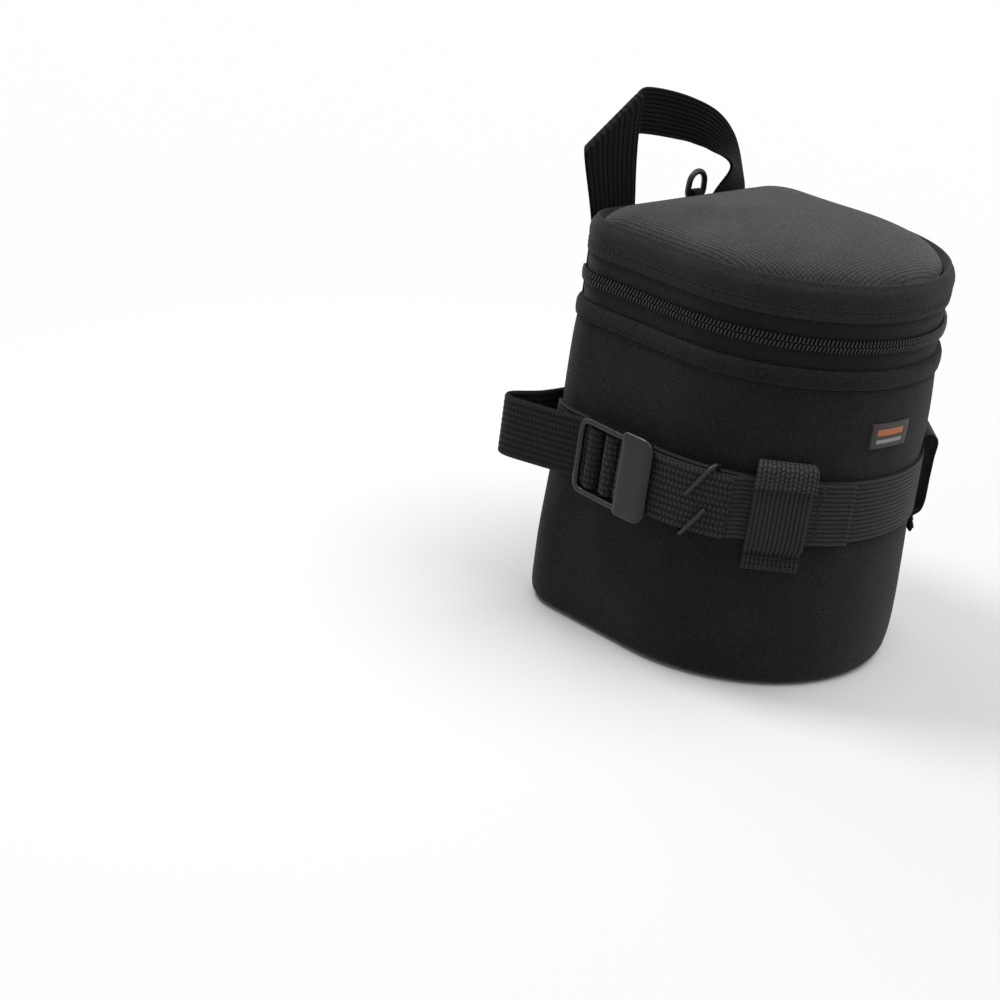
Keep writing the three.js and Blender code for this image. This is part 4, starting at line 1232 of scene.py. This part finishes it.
def ring_tab_line():
    r = 1.3 + WEB_T / 2
    seat = BACK_Y + 0.3 + WEB_T / 2
    line = [(seat, RING_Z - 12), (seat, RING_Z - 4)]
    line += arc(RING_Y, RING_Z, r, np.radians((180, 135, 90, 45, 0, -45, -85)))
    return smooth_line(line, 0.7)


ring_tab_sides = (RING_X - RING_TAB_HALF, RING_X + RING_TAB_HALF)
ring_tab = strip(
    "ring_tab_web", ring_tab_line(), ring_tab_sides, lambda y, z, x: (x, y, z),
    ribs=4, ridge=LOOP_RIDGE, facing=REARWARD,
)
fit(ring_tab, "lid", handle_weave_painted_shade, "ring_tab")


# Zip slider and pull, parked at the right: along the zip, out from the wall, up
def from_park(p):
    return (HALF_WIDTH + p[1], ARC_Y - p[0], ZIP_Z + p[2])


def bridge_part(x0, x1, low):
    return soft_box(x0 - BRIDGE_HALF, x1 + BRIDGE_HALF, low, BRIDGE_TOP, -BRIDGE_HALF, BRIDGE_HALF, 0.35)


slider_parts = [soft_box(-SLIDER_HALF, SLIDER_HALF, 1.1, 2.7, -SLIDER_SIDE, SLIDER_SIDE, 0.7)]
slider_parts += [bridge_part(x, x, 2.0) for x in (-POST_X, POST_X)]
slider_parts.append(bridge_part(-POST_X, POST_X, BRIDGE_LOW))
slider = gather("zip_slider_body", slider_parts, from_park)
fit(slider, "slider", keeper_plastic, "zip_slider")


def eye_line(x):
    turns = np.linspace(0, 2 * pi, 20, endpoint=False)
    return [(x, *point) for point in arc(BRIDGE_TOP - BRIDGE_HALF, 0, EYE_R, turns)]


pull_parts = [tube(eye_line(x), 0.5, 8, closed=True) for x in (-1.2, -0.4, 0.4, 1.2)]
pull_parts.append(soft_box(-NECK_HALF, NECK_HALF, BRIDGE_LOW, BRIDGE_TOP, GRIP_Z - 1, -1.9, 0.5))
pull_parts.append(soft_box(-GRIP_HALF, GRIP_HALF, BRIDGE_LOW - 0.2, BRIDGE_TOP + 0.2, PULL_END, GRIP_Z, 0.8))
for z in (-21.5, -19, -16.5, -14):
    pull_parts.append(soft_box(-2.6, 2.6, BRIDGE_TOP - 0.1, BRIDGE_TOP + 0.5, z - 0.5, z + 0.5, 0.25, 2))
pull = gather("zip_pull_tab", pull_parts, from_park)
fit(pull, "pull", keeper_plastic, "zip_pull")

# Stitching
lid_thread = Thread()
for up, out in ((2.5, -0.02), (4.0, 0.0)):
    lid_thread.wall_row(0, GIRTH, out, BAND_LOW + up, pitch=2.2, radius=0.22)
lid_thread.build("lid_stitching", "lid")

body_thread = Thread()
for station in (TAB_STATION, RIGHT_STATION):
    for up, pitch, proud in ((HEM_ROW, 2.2, 1.42), (TACK_ROW, 1.2, 0.88)):
        out = tab_seat(TAB_FOOT + up) + proud
        body_thread.wall_row(station - TAB_W / 2, station + TAB_W / 2, out, TAB_FOOT + up, pitch=pitch)
tack = TAB_STATION + 12.6
tack_half = 1.4
tack_out = strap_mid(tack) + WEB_T / 2 - 0.1
tack_ends = [on_wall(tack, wall_out(z) + tack_out, z) for z in (BELT_LOW + 1.2, BELT_HIGH - 1.2)]
tack_width = on_wall(tack + tack_half, 0, 0) - on_wall(tack - tack_half, 0, 0)
body_thread.zigzag(*tack_ends, tack_width, outward(tack))
boxes = [(x, 10, FOOT_BOTTOM + 2, FOOT_BOTTOM + 22, 1.7) for x in (-FOOT_X, FOOT_X)]
boxes.append((0, FLAP_SEAM, FLAP_HINGE_Z + 2.1, FLAP_HINGE_Z + 10.3, 4.8))
for x, half, low, high, out in boxes:
    a, b, c, d = (x - half, low), (x + half, low), (x + half, high), (x - half, high)
    body_thread.back_rows((a, b, c, d, a, c, b, d), out, pitch=2.4)
body_thread.build("body_stitching", "pouch")

flap_thread = Thread()
low, high = FLAP_HINGE_Z - FLAP_L + 2.5, FLAP_HINGE_Z - 2
border = ((-FLAP_SEAM, high), (-FLAP_SEAM, low), (FLAP_SEAM, low), (FLAP_SEAM, high))
flap_thread.back_rows(border, FLAP_IN + FLAP_T)
flap_thread.build("flap_stitching", "flap")

# Floor and light in metres, and the camera in millimetres
FLOOR_HALF = 12.0
FLOOR_Z = -0.0004
FADE_FROM = 0.12
FADE_TO = 0.42
AIR_LIGHT = 0.3
LIGHT_AIM = (0, 0, 0.09)


def clear_view(nodes):
    """1 where the camera looks at something directly or in a mirror or through glass."""
    kinds = ("Is Camera Ray", "Is Glossy Ray", "Is Transmission Ray")
    direct, mirrored, through = (nodes.node("ShaderNodeLightPath", output=kind) for kind in kinds)
    return direct.maths("MAXIMUM", mirrored).maths("MAXIMUM", through)


def floor():
    """A pale floor that fades into the white round it."""
    mesh = bpy.data.meshes.new("floor")
    corners = ((-1, -1), (1, -1), (1, 1), (-1, 1))
    mesh.from_pydata([(x * FLOOR_HALF, y * FLOOR_HALF, FLOOR_Z) for x, y in corners], [], [(0, 1, 2, 3)])
    made = bpy.data.objects.new("floor", mesh)
    scene.collection.objects.link(made)
    pale = Finish("pale_floor", Roughness=0.9, Specular_IOR_Level=0.1, Emission_Strength=1.0)
    seen = clear_view(pale)
    paper = pale.mix(pale.speckle(3.0), grey(0.8), grey(0.83))
    place = pale.node("ShaderNodeNewGeometry", output="Position")
    away = pale.node("ShaderNodeVectorMath", {"operation": "LENGTH"}, [place], output="Value")
    reach = {"Value": away, "From Min": FADE_FROM, "From Max": FADE_TO}
    fade = pale.node("ShaderNodeMapRange", {"interpolation_type": "SMOOTHSTEP"}, reach) * seen
    near = pale.mix(seen, grey(0.45), paper)
    pale.link(pale.mix(fade, near, grey(0.0)), "Base Color")
    pale.link(pale.mix(fade, grey(0.0), grey(0.97)), "Emission Color")
    made.data.materials.append(pale.material)


def air():
    """A low even light all round, which the camera sees as white."""
    world = bpy.data.worlds.new("studio")
    scene.world = world
    world.use_nodes = True
    nodes = Nodes(world.node_tree, "Background")
    nodes.link(clear_view(nodes) * (1 - AIR_LIGHT) + AIR_LIGHT, "Strength")
    nodes.shader.inputs["Color"].default_value = grey(1.0)


def lamp(name, kind, energy, way, place=(0, 0, 0)):
    """A light that shines one way; its softness is set by the caller."""
    light = bpy.data.lights.new(name, kind)
    light.energy = energy
    holder = bpy.data.objects.new(name, light)
    holder.location = place
    holder.rotation_euler = Vector(way).to_track_quat("-Z", "Y").to_euler()
    scene.collection.objects.link(holder)
    return light


def camera():
    """The photograph's view: from the front left and a little above, with a long lens, tilted."""
    azimuth, rise, roll = (radians(a) for a in (-47.866, 22.697, 7.595))
    shift_x, shift_y, distance = 51.423, -24.309, 798.12
    aim = np.array([0, 51.39, 0])
    back = np.array([sin(azimuth) * cos(rise), -cos(azimuth) * cos(rise), sin(rise)])
    right = np.cross(-back, (0, 0, 1))
    right /= norm(right)
    up = np.cross(right, -back)
    level = cos(roll) * right + sin(roll) * up
    upright = -sin(roll) * right + cos(roll) * up
    place = -shift_x * level - shift_y * upright + distance * back + aim
    lens = bpy.data.cameras.new("camera")
    lens.sensor_width = 36
    lens.lens = 72
    lens.clip_start = 0.01
    holder = bpy.data.objects.new("camera", lens)
    turned = Matrix((level, upright, back)).transposed().to_4x4()
    turned.translation = Vector(place * MM)
    holder.matrix_world = turned
    scene.collection.objects.link(holder)
    scene.camera = holder


floor()
air()
soft_key = lamp("soft_key", "SUN", 1.9, (-0.24, 0.27, -1.0))
soft_key.angle = radians(55)
for name, place, size, watts in (
    ("top_panel", (-0.24, 0.44, 0.95), 0.3, 4.4), ("back_panel", (0.3, 1.0, 0.8), 0.6, 1.5),
):
    panel = lamp(name, "AREA", watts, Vector(LIGHT_AIM) - Vector(place), place)
    panel.size = size
camera()
scene.view_settings.view_transform = "Standard"
